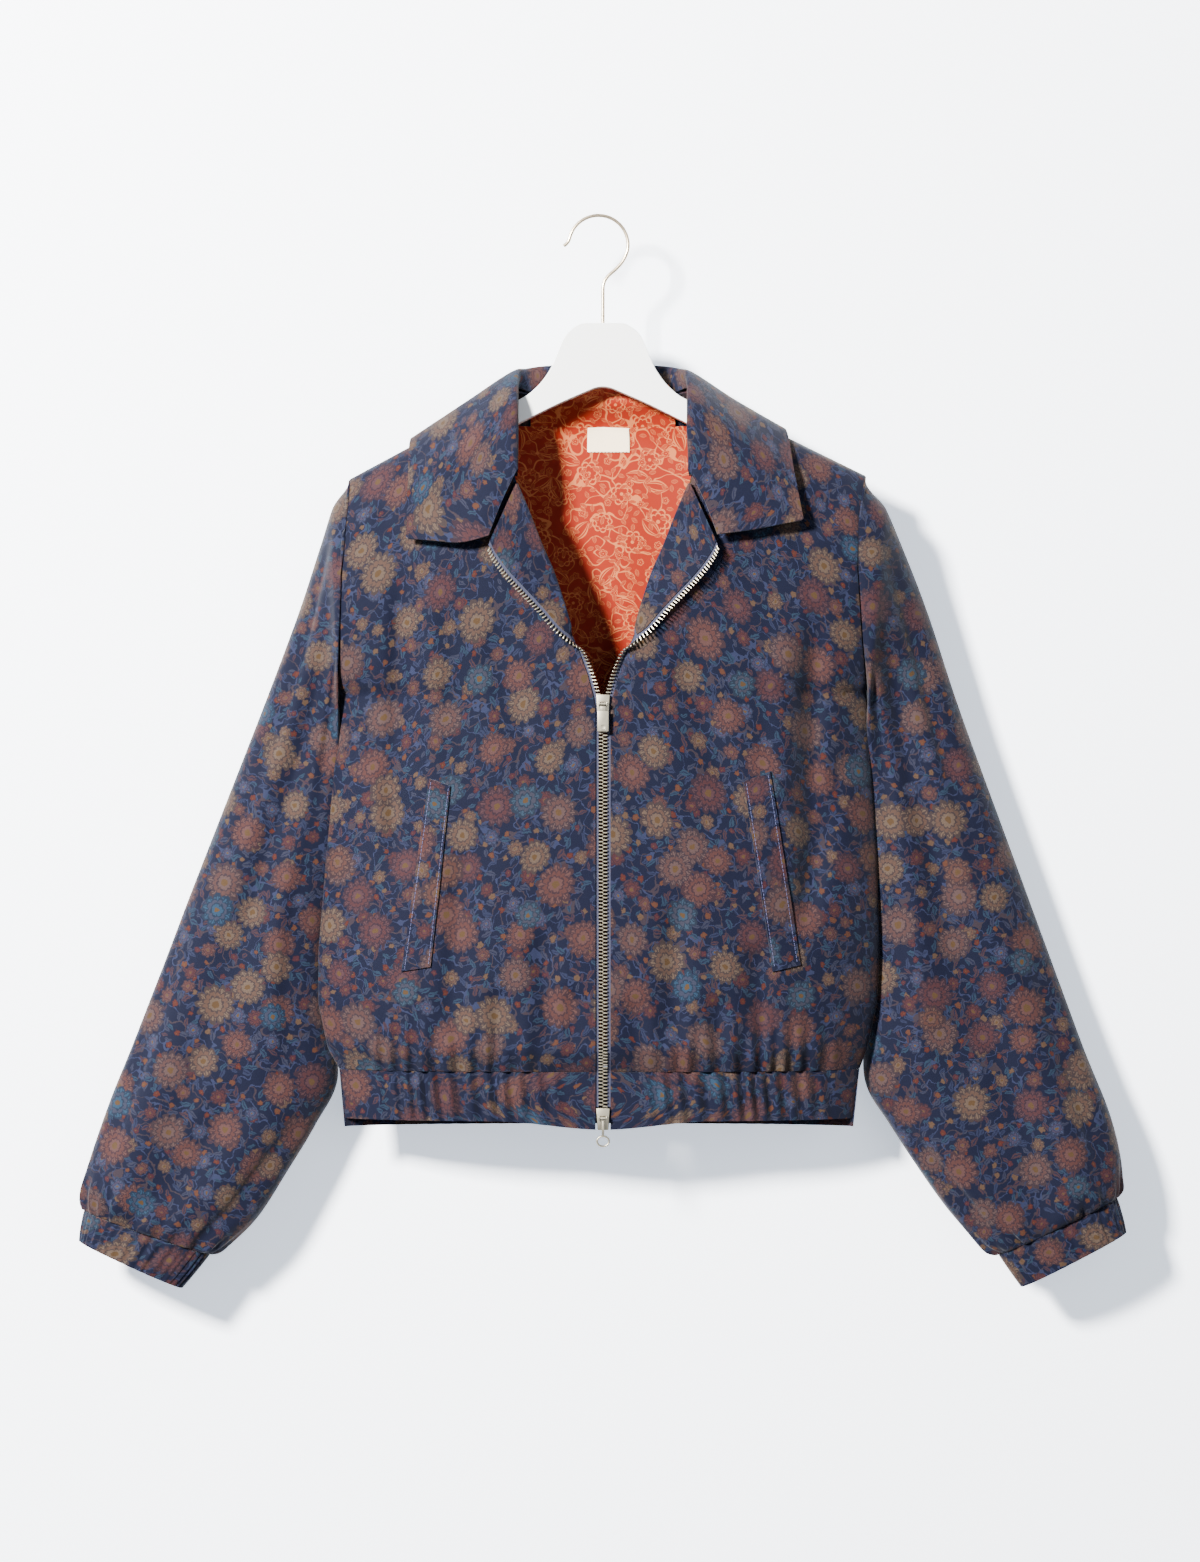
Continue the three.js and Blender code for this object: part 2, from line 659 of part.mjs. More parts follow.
add(
  "collar",
  wall(collarSurface, {
    across: spread(34),
    down: [0, 0.14, 0.24, 0.3, 0.36, 0.43, 0.55, 0.77, 1],
    from: -COLLAR_CLOTH,
    to: 0,
    outwards: 1,
  }),
  SHELL,
);

// Sleeves and cuffs, as rings from the armhole down
function ring(row, angle, power, bow = 0) {
  const [c, s] = [Math.cos(angle), Math.sin(angle)];
  const along = Math.sign(c) * Math.abs(c) ** (2 / power);
  const deep = Math.sign(s) * Math.abs(s) ** (2 / power);
  return new THREE.Vector3(
    (row.outX + row.inX) / 2 + (along * (row.outX - row.inX)) / 2 + bow,
    row.y - deep * (deep > 0 ? row.front : row.back),
    (row.outZ + row.inZ) / 2 + (along * (row.outZ - row.inZ)) / 2,
  );
}

// Keeps the end of a sleeve or a cuff in the plane of its ring
function squareRing(n, side, row) {
  const across = new THREE.Vector3(side.sign * (row.outX - row.inX), 0, row.outZ - row.inZ);
  n.projectOnPlane(across.cross(new THREE.Vector3(0, 1, 0)).normalize()).normalize();
}

function sleeveFold(u, v) {
  return sleeveFolds.reduce((sum, fold) => {
    const fade = ease((v - fold.top) / 0.12) * ease((fold.bottom - v) / 0.2);
    return sum + fold.depth * fade * bell((u - fold.around) / fold.width);
  }, 0);
}

function sleeveSurface(side) {
  return (u, v) => {
    const row = rowAt(sleeveRows[side.name], v);
    const angle = 2 * Math.PI * u;
    const plain = ring(row, angle, 2 + 0.4 * clamp(v * 8));
    const straight = lerp(row.outX, row.inX, (plain.z - row.outZ) / (row.inZ - row.outZ));
    const bow = (edgeAt(side, plain.z) + ARMHOLE_GAP - straight) * ease(1 - v / 0.1);
    const middle = ring(row, 0, 2).add(ring(row, Math.PI, 2)).multiplyScalar(0.5);
    const point = plain.clone();
    point.x += bow;
    const { count, height, reach } = GATHERS.sleeve;
    const drawn = ease((v - 1 + reach) / reach) * height * (0.5 + 0.5 * Math.cos(2 * Math.PI * count * u));
    const shift = (drawn - sleeveFold(u, v)) * (v > 0 ? 1 : 0);
    point.addScaledVector(plain.clone().sub(middle).normalize(), shift);
    point.x *= side.sign;
    return point;
  };
}

for (const side of SIDES) {
  add(
    `sleeve_${side.name}`,
    wall(sleeveSurface(side), {
      across: spread(36).slice(0, -1),
      down: [...spread(8, 0, 0.8), 0.87, 0.93, 0.97, 1],
      from: -CLOTH,
      to: 0,
      outwards: side.sign,
      round: true,
      seamNormal: (n, u, v) => {
        if (v === 0) n.setX(0).normalize();
        if (v === 1) squareRing(n, side, sleeveRows[side.name][sleeveRows[side.name].length - 1]);
      },
    }),
    SHELL,
  );
  const ribs = CUFF_RIBS.count;
  add(
    `cuff_${side.name}`,
    wall(
      (u, v) => {
        const point = ring(rowAt(cuffRows[side.name], v), 2 * Math.PI * u, 2.4);
        point.x *= side.sign;
        return point;
      },
      {
        across: spread(2 * ribs).slice(0, -1),
        down: [0, 1],
        from: -CLOTH,
        to: 0,
        outwards: side.sign,
        round: true,
        relief: (u) => CUFF_RIBS.height * (Math.round(u * 2 * ribs) % 2),
        seamNormal: (n, u, v) => squareRing(n, side, rowAt(cuffRows[side.name], v)),
      },
    ),
    SHELL,
  );
}

// The waistband, in a left front, a right front and a back
const hemZ = (face, x) => HEM_Z - HEM_DIP * (face === "back" ? 1 : 1 - ease(Math.abs(x) / 90));
function bandSurface(face, side, share, v) {
  const half = edgeAt(side, lerp(WAIST_Z, HEM_Z, v));
  const inner = face === "front" ? openEdge[openEdge.length - 1].x : 0;
  const x = lerp(inner, half, share);
  const z = lerp(WAIST_Z - SEAM_GAP, hemZ(face, x), v);
  return face === "front" ? frontPoint(side, x, z, bandRipple) : backPoint(side, x, z, bandRipple);
}
const bandAcross = [...spread(30, 0, 0.9), 0.935, 0.965, 0.985, 1];
for (const side of SIDES) {
  add(
    `band_front_${side.name}`,
    wall((u, v) => bandSurface("front", side, u, v), {
      across: bandAcross,
      down: [0, 0.5, 1],
      from: -CLOTH,
      to: 0,
      outwards: -side.sign,
      seamNormal: squareBand,
    }),
    SHELL,
  );
}
add(
  "band_back",
  wall((u, v) => bandSurface("back", sideOf(u), Math.abs(u), v), {
    across: bothWays(bandAcross),
    down: [0, 0.5, 1],
    from: -CLOTH,
    to: 0,
    outwards: 1,
    seamNormal: squareBand,
  }),
  SHELL,
);

// Pocket welts lie on the fronts
const WELT_CLOTH = 1.4;
for (const side of SIDES) {
  const { innerTop, outerTop, innerEnd, outerEnd } = welts[side.name];
  const corner = (u, v, axis) =>
    lerp(lerp(innerTop[axis], outerTop[axis], u), lerp(innerEnd[axis], outerEnd[axis], u), v);
  add(
    `welt_${side.name}`,
    wall((u, v) => frontPoint(side, corner(u, v, 0), corner(u, v, 1)), {
      across: spread(3),
      down: spread(8),
      from: LAYER_GAP,
      to: LAYER_GAP + WELT_CLOTH,
      outwards: -side.sign,
    }),
    SHELL,
  );
}

// The zip: a tape and a row of teeth run up the free edge of each front, and turn over with the lapel
const ZIP = { bottom: -747, tape: [1.15, 1.95, 0.3, 1.2], row: [2.4, 6.15, -0.5, 2.1], taper: 0.3 };
const edgeHeights = [ZIP.bottom, -717, -652, -580, -500, -442, -417, -405, -396, -386, -376, -366, -358];
const STRAIGHT_FRAMES = 8;
const EVENING_PASSES = 3;
const lapelStops = [0.06, 0.12, 0.19, ...spread(7, 0.3, 0.98)];
const OPEN_X = openEdge[openEdge.length - 1].x;
function zipPath(side) {
  const lapel = lapelSurface(side);
  const inwards = new THREE.Vector3(0, 1, 0);
  const frames = edgeHeights.map((z) => {
    const point = frontPoint(side, lookUp(openEdge, "z", z, "x"), z);
    const tilt = degrees(lookUp(zipTurn, "z", z, "turn"));
    return {
      point: point.addScaledVector(inwards, CLOTH / 2),
      out: new THREE.Vector3(-side.sign * Math.cos(tilt), -Math.sin(tilt), 0),
      reverse: new THREE.Vector3(-side.sign * Math.sin(tilt), Math.cos(tilt), 0),
    };
  });
  for (const v of lapelStops) {
    const point = lapel(1, v);
    const reverse = normalOf(lapel, 1, v).multiplyScalar(-side.sign);
    const out = point.clone().sub(lapel(0.9, v)).normalize();
    frames.push({ point: point.addScaledVector(reverse, CLOTH / 2), out, reverse });
  }
  return frames;
}

// Past the straight part, each frame's directions are evened out with its neighbours' and turned square to the path
function squared(frames, side) {
  return frames.map((frame, i) => {
    if (i < STRAIGHT_FRAMES) return frame;
    const before = frames[i - 1];
    const after = frames[Math.min(frames.length - 1, i + 1)];
    const along = after.point.clone().sub(before.point).normalize();
    const mixed = before.out.clone().add(after.out).addScaledVector(frame.out, 2);
    const out = mixed.projectOnPlane(along).normalize();
    return { point: frame.point, out, reverse: along.cross(out).multiplyScalar(-side.sign) };
  });
}
for (const side of SIDES) {
  let frames = zipPath(side);
  for (let pass = 0; pass < EVENING_PASSES; pass++) frames = squared(frames, side);
  const strip = ([near, far, front, rear]) =>
    loft(
      frames.map(({ point, out, reverse }) =>
        [
          [near, front],
          [far - ZIP.taper, front],
          [far, (front + rear) / 2],
          [far - ZIP.taper, rear],
          [near, rear],
        ].map(([along, deep]) =>
          point
            .clone()
            .addScaledVector(out, along)
            .addScaledVector(reverse, deep - CLOTH / 2),
        ),
      ),
    );
  add(`zip_tape_${side.name}`, strip(ZIP.tape), TAPE);
  add(`zip_row_${side.name}`, strip(ZIP.row), ZIP_METAL);
}

// Boxes and plates in the slider's own frame: x across, y back from the zip, z up
function block([x0, x1], [y0, y1], [z0, z1]) {
  return new THREE.BoxGeometry(x1 - x0, y1 - y0, z1 - z0).translate((x0 + x1) / 2, (y0 + y1) / 2, (z0 + z1) / 2);
}
const rodAcross = (radius, half, y, z, sides = 20) =>
  new THREE.CylinderGeometry(radius, radius, 2 * half, sides).rotateZ(Math.PI / 2).translate(0, y, z);
const seatY = (z) => -depthAt(SIDES[0], "front", OPEN_X, z);

const PLATE = { half: 5.7, thick: 1.4, clear: 0.6 };
const LUG = { inner: 2.6, outer: 3.7, radius: 1.9 };
const BAR = { radius: 0.8, stand: 2.9 };
const EYE = { inner: 1.15, outer: 2, half: 2.3 };
function slider(z, top, bottom, postZ) {
  const y = seatY(z);
  const front = [y + ZIP.row[2] - PLATE.clear - PLATE.thick, y + ZIP.row[2] - PLATE.clear];
  const rear = [y + ZIP.row[3] + PLATE.clear, y + ZIP.row[3] + PLATE.clear + PLATE.thick];
  const barY = front[0] - BAR.stand;
  const span = [-PLATE.half, PLATE.half];
  const lugs = SIDES.map(({ sign }) => {
    const at = [sign * LUG.inner, sign * LUG.outer].sort((a, b) => a - b);
    return [
      block(at, [barY, front[0] + 0.1], [z - LUG.radius * 0.8, z + LUG.radius * 0.8]),
      new THREE.CylinderGeometry(LUG.radius, LUG.radius, at[1] - at[0], 20)
        .rotateZ(Math.PI / 2)
        .translate((at[0] + at[1]) / 2, barY, z),
    ];
  }).flat();
  return {
    barY,
    geometry: join(
      block(span, front, [bottom, top]),
      block(span, rear, [bottom, top]),
      block([-0.9, 0.9], [front[1] - 0.1, rear[0] + 0.1], postZ),
      ...lugs,
      rodAcross(BAR.radius, LUG.outer - 0.2, barY, z),
    ),
  };
}

function eye(y, z) {
  const outer = solidOf(rodAcross(EYE.outer, EYE.half, y, z, 24));
  return outer.subtract(solidOf(rodAcross(EYE.inner, EYE.half + 1, y, z, 24)));
}

const TOP_SLIDER = { z: -411, top: -403, bottom: -424, post: [-407.5, -403] };
const TOP_PULL = { half: 4.7, thick: 1.2, neck: 2.2, top: -413.6, bottom: -434, badge: 1.6, badgeZ: -430, recess: 0.3 };
const topSlider = slider(TOP_SLIDER.z, TOP_SLIDER.top, TOP_SLIDER.bottom, TOP_SLIDER.post);
add("slider_top", topSlider.geometry, ZIP_METAL);
function pullPlate({ half, thick, neck, top, bottom, badge, badgeZ, recess }, y, z) {
  const deep = [y - thick / 2, y + thick / 2];
  const plate = solidOf(block([-half, half], deep, [bottom, top - 1])).add(
    solidOf(block([-neck, neck], deep, [top - 2, z - EYE.inner - 0.2])),
  );
  const mark = solidOf(block([-badge, badge], [deep[0] - 1, deep[0] + recess], [badgeZ - badge, badgeZ + badge]));
  return meshOf(plate.subtract(mark).add(eye(y, z)));
}
add("pull_top", pullPlate(TOP_PULL, topSlider.barY, TOP_SLIDER.z), ZIP_METAL);

const LOW_SLIDER = { z: -756, top: -747.8, bottom: -766, post: [-752, -748] };
const LOW_RING = { z: -775, half: 5.4, tall: 4.4, wire: 0.8, neck: 1.4 };
const lowSlider = slider(LOW_SLIDER.z, LOW_SLIDER.top, LOW_SLIDER.bottom, LOW_SLIDER.post);
add("slider_bottom", lowSlider.geometry, ZIP_METAL);
const ringHoop = new THREE.TorusGeometry(1, 1, 6, 20);
{
  const place = ringHoop.attributes.position;
  for (let i = 0; i < place.count; i++) {
    const around = (2 * Math.PI * (i % 21)) / 20;
    const turn = (2 * Math.PI * Math.floor(i / 21)) / 6;
    const reach = LOW_RING.wire * Math.cos(turn);
    place.setXYZ(
      i,
      (LOW_RING.half + reach) * Math.cos(around),
      lowSlider.barY - LOW_RING.wire * Math.sin(turn),
      LOW_RING.z + (LOW_RING.tall + reach) * Math.sin(around),
    );
  }
}
const ringNeck = block(
  [-LOW_RING.neck, LOW_RING.neck],
  [lowSlider.barY - 0.6, lowSlider.barY + 0.6],
  [LOW_RING.z + LOW_RING.tall, LOW_SLIDER.z - EYE.inner - 0.2],
);
add(
  "pull_bottom",
  meshOf(eye(lowSlider.barY, LOW_SLIDER.z).add(solidOf(ringNeck)).add(solidOf(ringHoop))),
  ZIP_METAL,
);

// The hanger is a flat board with eased edges, cut to the slope of the shoulders
const outline = new THREE.Shape(
  [...hangerOutline, ...hangerOutline.slice(0, -1).map(([x, z]) => [-x, z]).reverse()].map(
    ([x, z]) => new THREE.Vector2(x, z),
  ),
);
add(
  "hanger",
  new THREE.ExtrudeGeometry(outline, {
    depth: HANGER.thick - 2 * HANGER.bevel,
    bevelThickness: HANGER.bevel,
    bevelSize: HANGER.bevel,
    bevelOffset: -HANGER.bevel,
    bevelSegments: 1,
  })
    .rotateX(Math.PI / 2)
    .translate(0, HANGER.thick / 2 - HANGER.bevel, 0),
  PAINTED_WOOD,
);

// The hook is round wire in the plane of the hanger
const arcPoint = (angle) => [
  HOOK.x + HOOK.radius * Math.cos(degrees(angle)),
  HOOK.z + HOOK.radius * Math.sin(degrees(angle)),
];
const wirePath = [...hookStem, ...spread(14, HOOK.from, HOOK.to).map(arcPoint), ...hookTip];
const WIRE_SIDES = 10;
add(
  "hook",
  loft(
    wirePath.map(([x, z], i) => {
      const before = wirePath[Math.max(0, i - 1)];
      const after = wirePath[Math.min(wirePath.length - 1, i + 1)];
      const along = new THREE.Vector3(after[0] - before[0], 0, after[1] - before[1]).normalize();
      return spread(WIRE_SIDES)
        .slice(0, -1)
        .map((share) => {
          const angle = 2 * Math.PI * share;
          return new THREE.Vector3(
            x + WIRE_RADIUS * Math.cos(angle) * along.z,
            WIRE_RADIUS * Math.sin(angle),
            z - WIRE_RADIUS * Math.cos(angle) * along.x,
          );
        });
    }),
  ),
  HOOK_METAL,
);

export default jacket;
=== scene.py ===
# %% [markdown]
# A short bomber jacket hangs on a flat white hanger. This lesson dresses the plain solids of its CAD model in cloth,
# zip and paint. The first cell loads those solids as a fixed frame and bakes each one's placing into its own points.

import math

import bpy
import numpy as np
from mathutils import Matrix, Vector


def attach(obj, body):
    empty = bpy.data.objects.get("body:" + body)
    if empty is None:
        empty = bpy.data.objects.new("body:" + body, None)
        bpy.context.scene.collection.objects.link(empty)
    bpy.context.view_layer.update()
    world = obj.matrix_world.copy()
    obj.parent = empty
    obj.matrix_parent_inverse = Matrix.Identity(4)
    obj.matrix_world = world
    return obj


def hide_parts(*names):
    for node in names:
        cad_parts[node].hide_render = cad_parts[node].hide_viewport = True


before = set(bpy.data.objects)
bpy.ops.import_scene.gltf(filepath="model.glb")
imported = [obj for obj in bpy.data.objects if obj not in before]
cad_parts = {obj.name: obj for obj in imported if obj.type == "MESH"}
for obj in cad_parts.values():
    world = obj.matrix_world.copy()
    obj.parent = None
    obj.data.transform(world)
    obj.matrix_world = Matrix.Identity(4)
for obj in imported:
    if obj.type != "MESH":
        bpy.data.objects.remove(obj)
for leftover in ("Cube", "Light", "Camera"):
    if leftover in bpy.data.objects:
        bpy.data.objects.remove(bpy.data.objects[leftover])
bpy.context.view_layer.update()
MM = 0.001
JACKET = "jacket"

# %% [markdown]
# The photograph looks at the jacket straight on through a long lens. The camera stands far back and the lens is long,
# so the sleeves and the placket keep their true proportions. The frame is 1200 by 1562 pixels of 0.84 mm each.

# %% Camera
PHOTO_HIGH = 1562 * 0.84 * MM
CAMERA_BACK = 3.4
MIDDLE = Vector((-0.0025, 0, -0.475))
bpy.ops.object.camera_add(location=(MIDDLE.x, -CAMERA_BACK, MIDDLE.z), rotation=(math.pi / 2, 0, 0))
camera = bpy.context.object
camera.name = "camera"
camera.data.sensor_fit = "VERTICAL"
camera.data.sensor_height = 24
camera.data.lens = 24 * (CAMERA_BACK - 0.012) / PHOTO_HIGH
bpy.context.scene.camera = camera
print("lens", round(camera.data.lens, 1), "mm")

# %% [markdown]
# A garment pattern is drawn from measurements at a few heights, with a curve between them. The tables below do the
# same in millimetres. The first holds the outer edge of the body, which is the armhole above the underarm and the side
# seam below it. The next holds how far the front and the back stand out, and the last the inner edge of each front,
# from the neck down the roll of the lapel to the zip.

# %% Measurements of the body
SIDES = {"left": 1, "right": -1}
SLOPE = {"left": 0.49, "right": 0.54}
NECK_HALF, NECK_Z = 75, -146
UNDERARM_Z, WAIST_Z, HEM_Z, HEM_DIP = -400, -717.5, -759, 7
SEAM = 0.2
EDGE_Z = [-218, -259, -299, -357, -410, -535, -620, -662, -700, -718, -766]
EDGE_X = {
    "left": [221, 214, 213, 217, 223, 231, 233, 231, 223, 216, 210],
    "right": [213, 216, 218, 220, 223, 233, 240, 240, 232, 222, 217],
}
DEPTH_Z = [-146, -300, -500, -650, -700, -718]
DEPTH = {"front": [42, 43, 45, 48, 46, 36], "back": [34, 34, 34, 36, 35, 29]}
OPEN_Z = [-146, -180, -222, -245, -270, -311, -345, -366, -386, -405, -416, -718]
OPEN_X = [75, 75.5, 73.5, 65.5, 56, 39.5, 29, 20.5, 13, 8, 6.3, 6.3]
ARM_DEPTH = {"front": 26, "back": 22}


def at_height(z, heights, values):
    """The value at each height, from a table that runs downwards."""
    return np.interp(-np.asarray(z, float), -np.array(heights, float), values)


def by_side(x, table):
    """Picks the wearer's left or right value for each point."""
    return np.where(x < 0, table["right"], table["left"])


def ease(t):
    t = np.clip(t, 0, 1)
    return t * t * (3 - 2 * t)


def shoulder_z(x):
    return NECK_Z - by_side(x, SLOPE) * np.maximum(0, np.abs(x) - NECK_HALF)


def edge_at(x, z):
    left, right = (at_height(z, EDGE_Z, EDGE_X[side]) for side in ("left", "right"))
    return np.where(x < 0, right, left)


print("chest", EDGE_X["left"][4] + EDGE_X["right"][4], "mm across")

# %% [markdown]
# Cloth that hangs is never smooth. Each row of the crease table is one soft trough or ridge: where it starts and
# ends, how wide it is and how deep. Gathers are different, because elastic draws them up evenly, so they are waves
# that grow towards the seam. A little slow noise over everything keeps any stretch from looking ironed.

# %% Creases, gathers and slow noise
CREASES = {
    "front": [
        # x, z at the top, x, z at the end, half width, depth (ridges are below zero)
        (-168, -285, -176, -560, 10, 4.5),
        (-146, -300, -140, -470, 12, -2.5),
        (-118, -520, -128, -715, 12, 4),
        (-96, -340, -60, -470, 13, 2.2),
        (-52, -590, -44, -715, 10, 4),
        (-205, -420, -150, -560, 12, 3),
        (-88, -640, -84, -715, 8, 3),
        (-24, -640, -28, -715, 9, 2.5),
        (26, -650, 30, -715, 9, 2.5),
        (62, -560, 56, -715, 11, 4),
        (96, -650, 92, -715, 8, 3),
        (128, -600, 132, -715, 12, 4),
        (60, -360, 110, -500, 15, 2.4),
        (178, -310, 172, -600, 11, 5),
        (152, -330, 148, -520, 12, -2.5),
        (208, -430, 160, -620, 12, 3),
        (150, -280, 196, -240, 12, 1.8),
        (-150, -280, -192, -250, 12, 1.8),
    ],
    "back": [
        (-150, -300, -158, -600, 13, 4),
        (-96, -420, -104, -715, 15, 3.5),
        (-40, -300, -52, -640, 16, -2.5),
        (-20, -560, -24, -715, 11, 3.5),
        (34, -330, 30, -715, 15, 3),
        (86, -520, 92, -715, 12, 3.5),
        (140, -300, 150, -620, 14, 4),
        (190, -430, 168, -640, 12, 3.5),
        (-195, -440, -176, -650, 12, 3.5),
        (0, -200, 6, -330, 20, 2),
    ],
}


CREASE_STRENGTH = 1.35


def crease_depth(x, z, rows):
    """How far the creases press the cloth in at each point."""
    total = np.zeros_like(x)
    for x0, z0, x1, z1, width, depth in rows:
        along = np.clip(((x - x0) * (x1 - x0) + (z - z0) * (z1 - z0)) / ((x1 - x0) ** 2 + (z1 - z0) ** 2), 0, 1)
        away = np.hypot(x - x0 - along * (x1 - x0), z - z0 - along * (z1 - z0)) / width
        total += CREASE_STRENGTH * depth * np.exp(-away * away) * ease(along * 4) * ease((1.06 - along) * 3)
    return total


def slow_noise(x, z, seed, size=46, high=1):
    """Uneven swells from a few waves in turned directions, always the same for one seed."""
    dice = np.random.default_rng(seed)
    total = np.zeros_like(x)
    for _ in range(9):
        turn, shift = dice.uniform(0, 2 * math.pi, 2)
        reach = size * dice.uniform(0.55, 1.5)
        wave = np.sin(2 * math.pi * (x * math.cos(turn) + 0.55 * z * math.sin(turn)) / reach + shift)
        total += wave * reach / size
    return high * total / 6


def gathers(x, pitch, high, seed):
    """Waves of uneven pitch and height, all of them ridges."""
    dice = np.random.default_rng(seed)
    bends = dice.uniform(0, 2 * math.pi, 4)
    phase = 2 * math.pi * x / pitch
    phase = phase + 1.5 * np.sin(x / (1.9 * pitch) + bends[0]) + 0.9 * np.sin(x / (0.83 * pitch) + bends[1])
    size = 0.72 + 0.28 * np.sin(x / (2.6 * pitch) + bends[2])
    return high * size * (0.5 + 0.5 * np.sin(phase + bends[3]))


print("creases:", {face: len(rows) for face, rows in CREASES.items()})

# %% [markdown]
# The body is two height fields, a front and a back, that meet at the shoulder ridge and at the side seams. The depth
# follows a rounded curve across the chest and a steep arch just under the shoulder, where the cloth drops over the
# hanger. Relief fades out near those meeting lines, so the seams stay closed.

# %% The form of the body
SIDE_ROUND, SIDE_POWER, ARCH, NECK_ARCH = 2.6, 0.7, 4, 3


def tip_z(x):
    return shoulder_z(np.where(x < 0, -EDGE_X["right"][0], EDGE_X["left"][0]))


def soft_least(a, b):
    blend = np.minimum(5, np.minimum(0.4 * a, 0.4 * b))
    return (a + b - np.sqrt((a - b) ** 2 + blend**2)) / 2


def relief_at(face, x, z):
    waist = ease(1 - (z - WAIST_Z) / 75)
    plain = ease((np.abs(x) - 24) / 46) if face == "front" else 1
    side = ease((206 - np.abs(x)) / 16)
    folds = gathers(x, 15.5 if face == "front" else 16.5, 5.6, 3 if face == "front" else 8)
    swell = slow_noise(x, z, 11 if face == "front" else 12, high=0.75)
    gathered = folds * waist * waist * plain * side
    return gathered - crease_depth(x, z, CREASES[face]) + swell * ease((np.abs(x) - 8) / 30)


def depth_at(face, x, z, relief=relief_at):
    share = np.clip((z - UNDERARM_Z) / (tip_z(x) - UNDERARM_Z), 0, 1)
    arm = ARM_DEPTH[face] * np.sqrt(np.maximum(0, 1 - (2 * share - 1) ** 2))
    full = at_height(z, DEPTH_Z, DEPTH[face])
    out = np.clip(np.abs(x) / edge_at(x, z), 0, 1)
    across = arm + np.maximum(0, full - arm) * (1 - out**SIDE_ROUND) ** SIDE_POWER
    below = np.maximum(0, shoulder_z(x) - z)
    arch = ARCH + (NECK_ARCH * np.clip(1 - np.abs(x) / NECK_HALF, 0, 1) if face == "back" else 0)
    smooth = soft_least(across, arch * np.sqrt(below))
    return smooth + relief(face, x, z) * np.clip((smooth - 8) / 16, 0, 1) + SEAM


def on_body(face, x, z, relief=relief_at):
    """Points on the outside of the front or the back."""
    y = depth_at(face, x, z, relief)
    return np.stack([x, -y if face == "front" else y, z], axis=-1)


# %% [markdown]
# Every cloth piece starts as a flat grid, one square for a few millimetres of cloth. The grid's points are then moved
# onto the form, and the piece's UV map is laid out in real metres along the cloth. A print or a weave that reads this
# map keeps its true scale and follows the cloth round each fold. A Solidify modifier gives the wall its thickness.

# %% Grids of cloth
CLOTH = 1.5


def select_only(piece):
    bpy.ops.object.select_all(action="DESELECT")
    piece.select_set(True)
    bpy.context.view_layer.objects.active = piece


def arm_map(points, arm):
    """Unrolls a tube: one way along the arm, the other round it, from the middle of its front."""
    along = np.array([arm[0], 0, arm[1]], float)
    along /= np.linalg.norm(along)
    across = np.array([-along[2], 0, along[0]])
    far, wide = points @ along, points @ across
    steps = np.hypot(np.diff(wide, axis=1), np.diff(points[..., 1], axis=1))
    round_it = np.concatenate([np.zeros((len(points), 1)), np.cumsum(steps, axis=1)], axis=1)
    start = 3 * points.shape[1] // 4
    way = np.sign(wide[:, start + 1] - wide[:, start])[:, None]
    flat_u = wide[:, start : start + 1] + way * (round_it - round_it[:, start : start + 1])
    return flat_u * MM, -far * MM


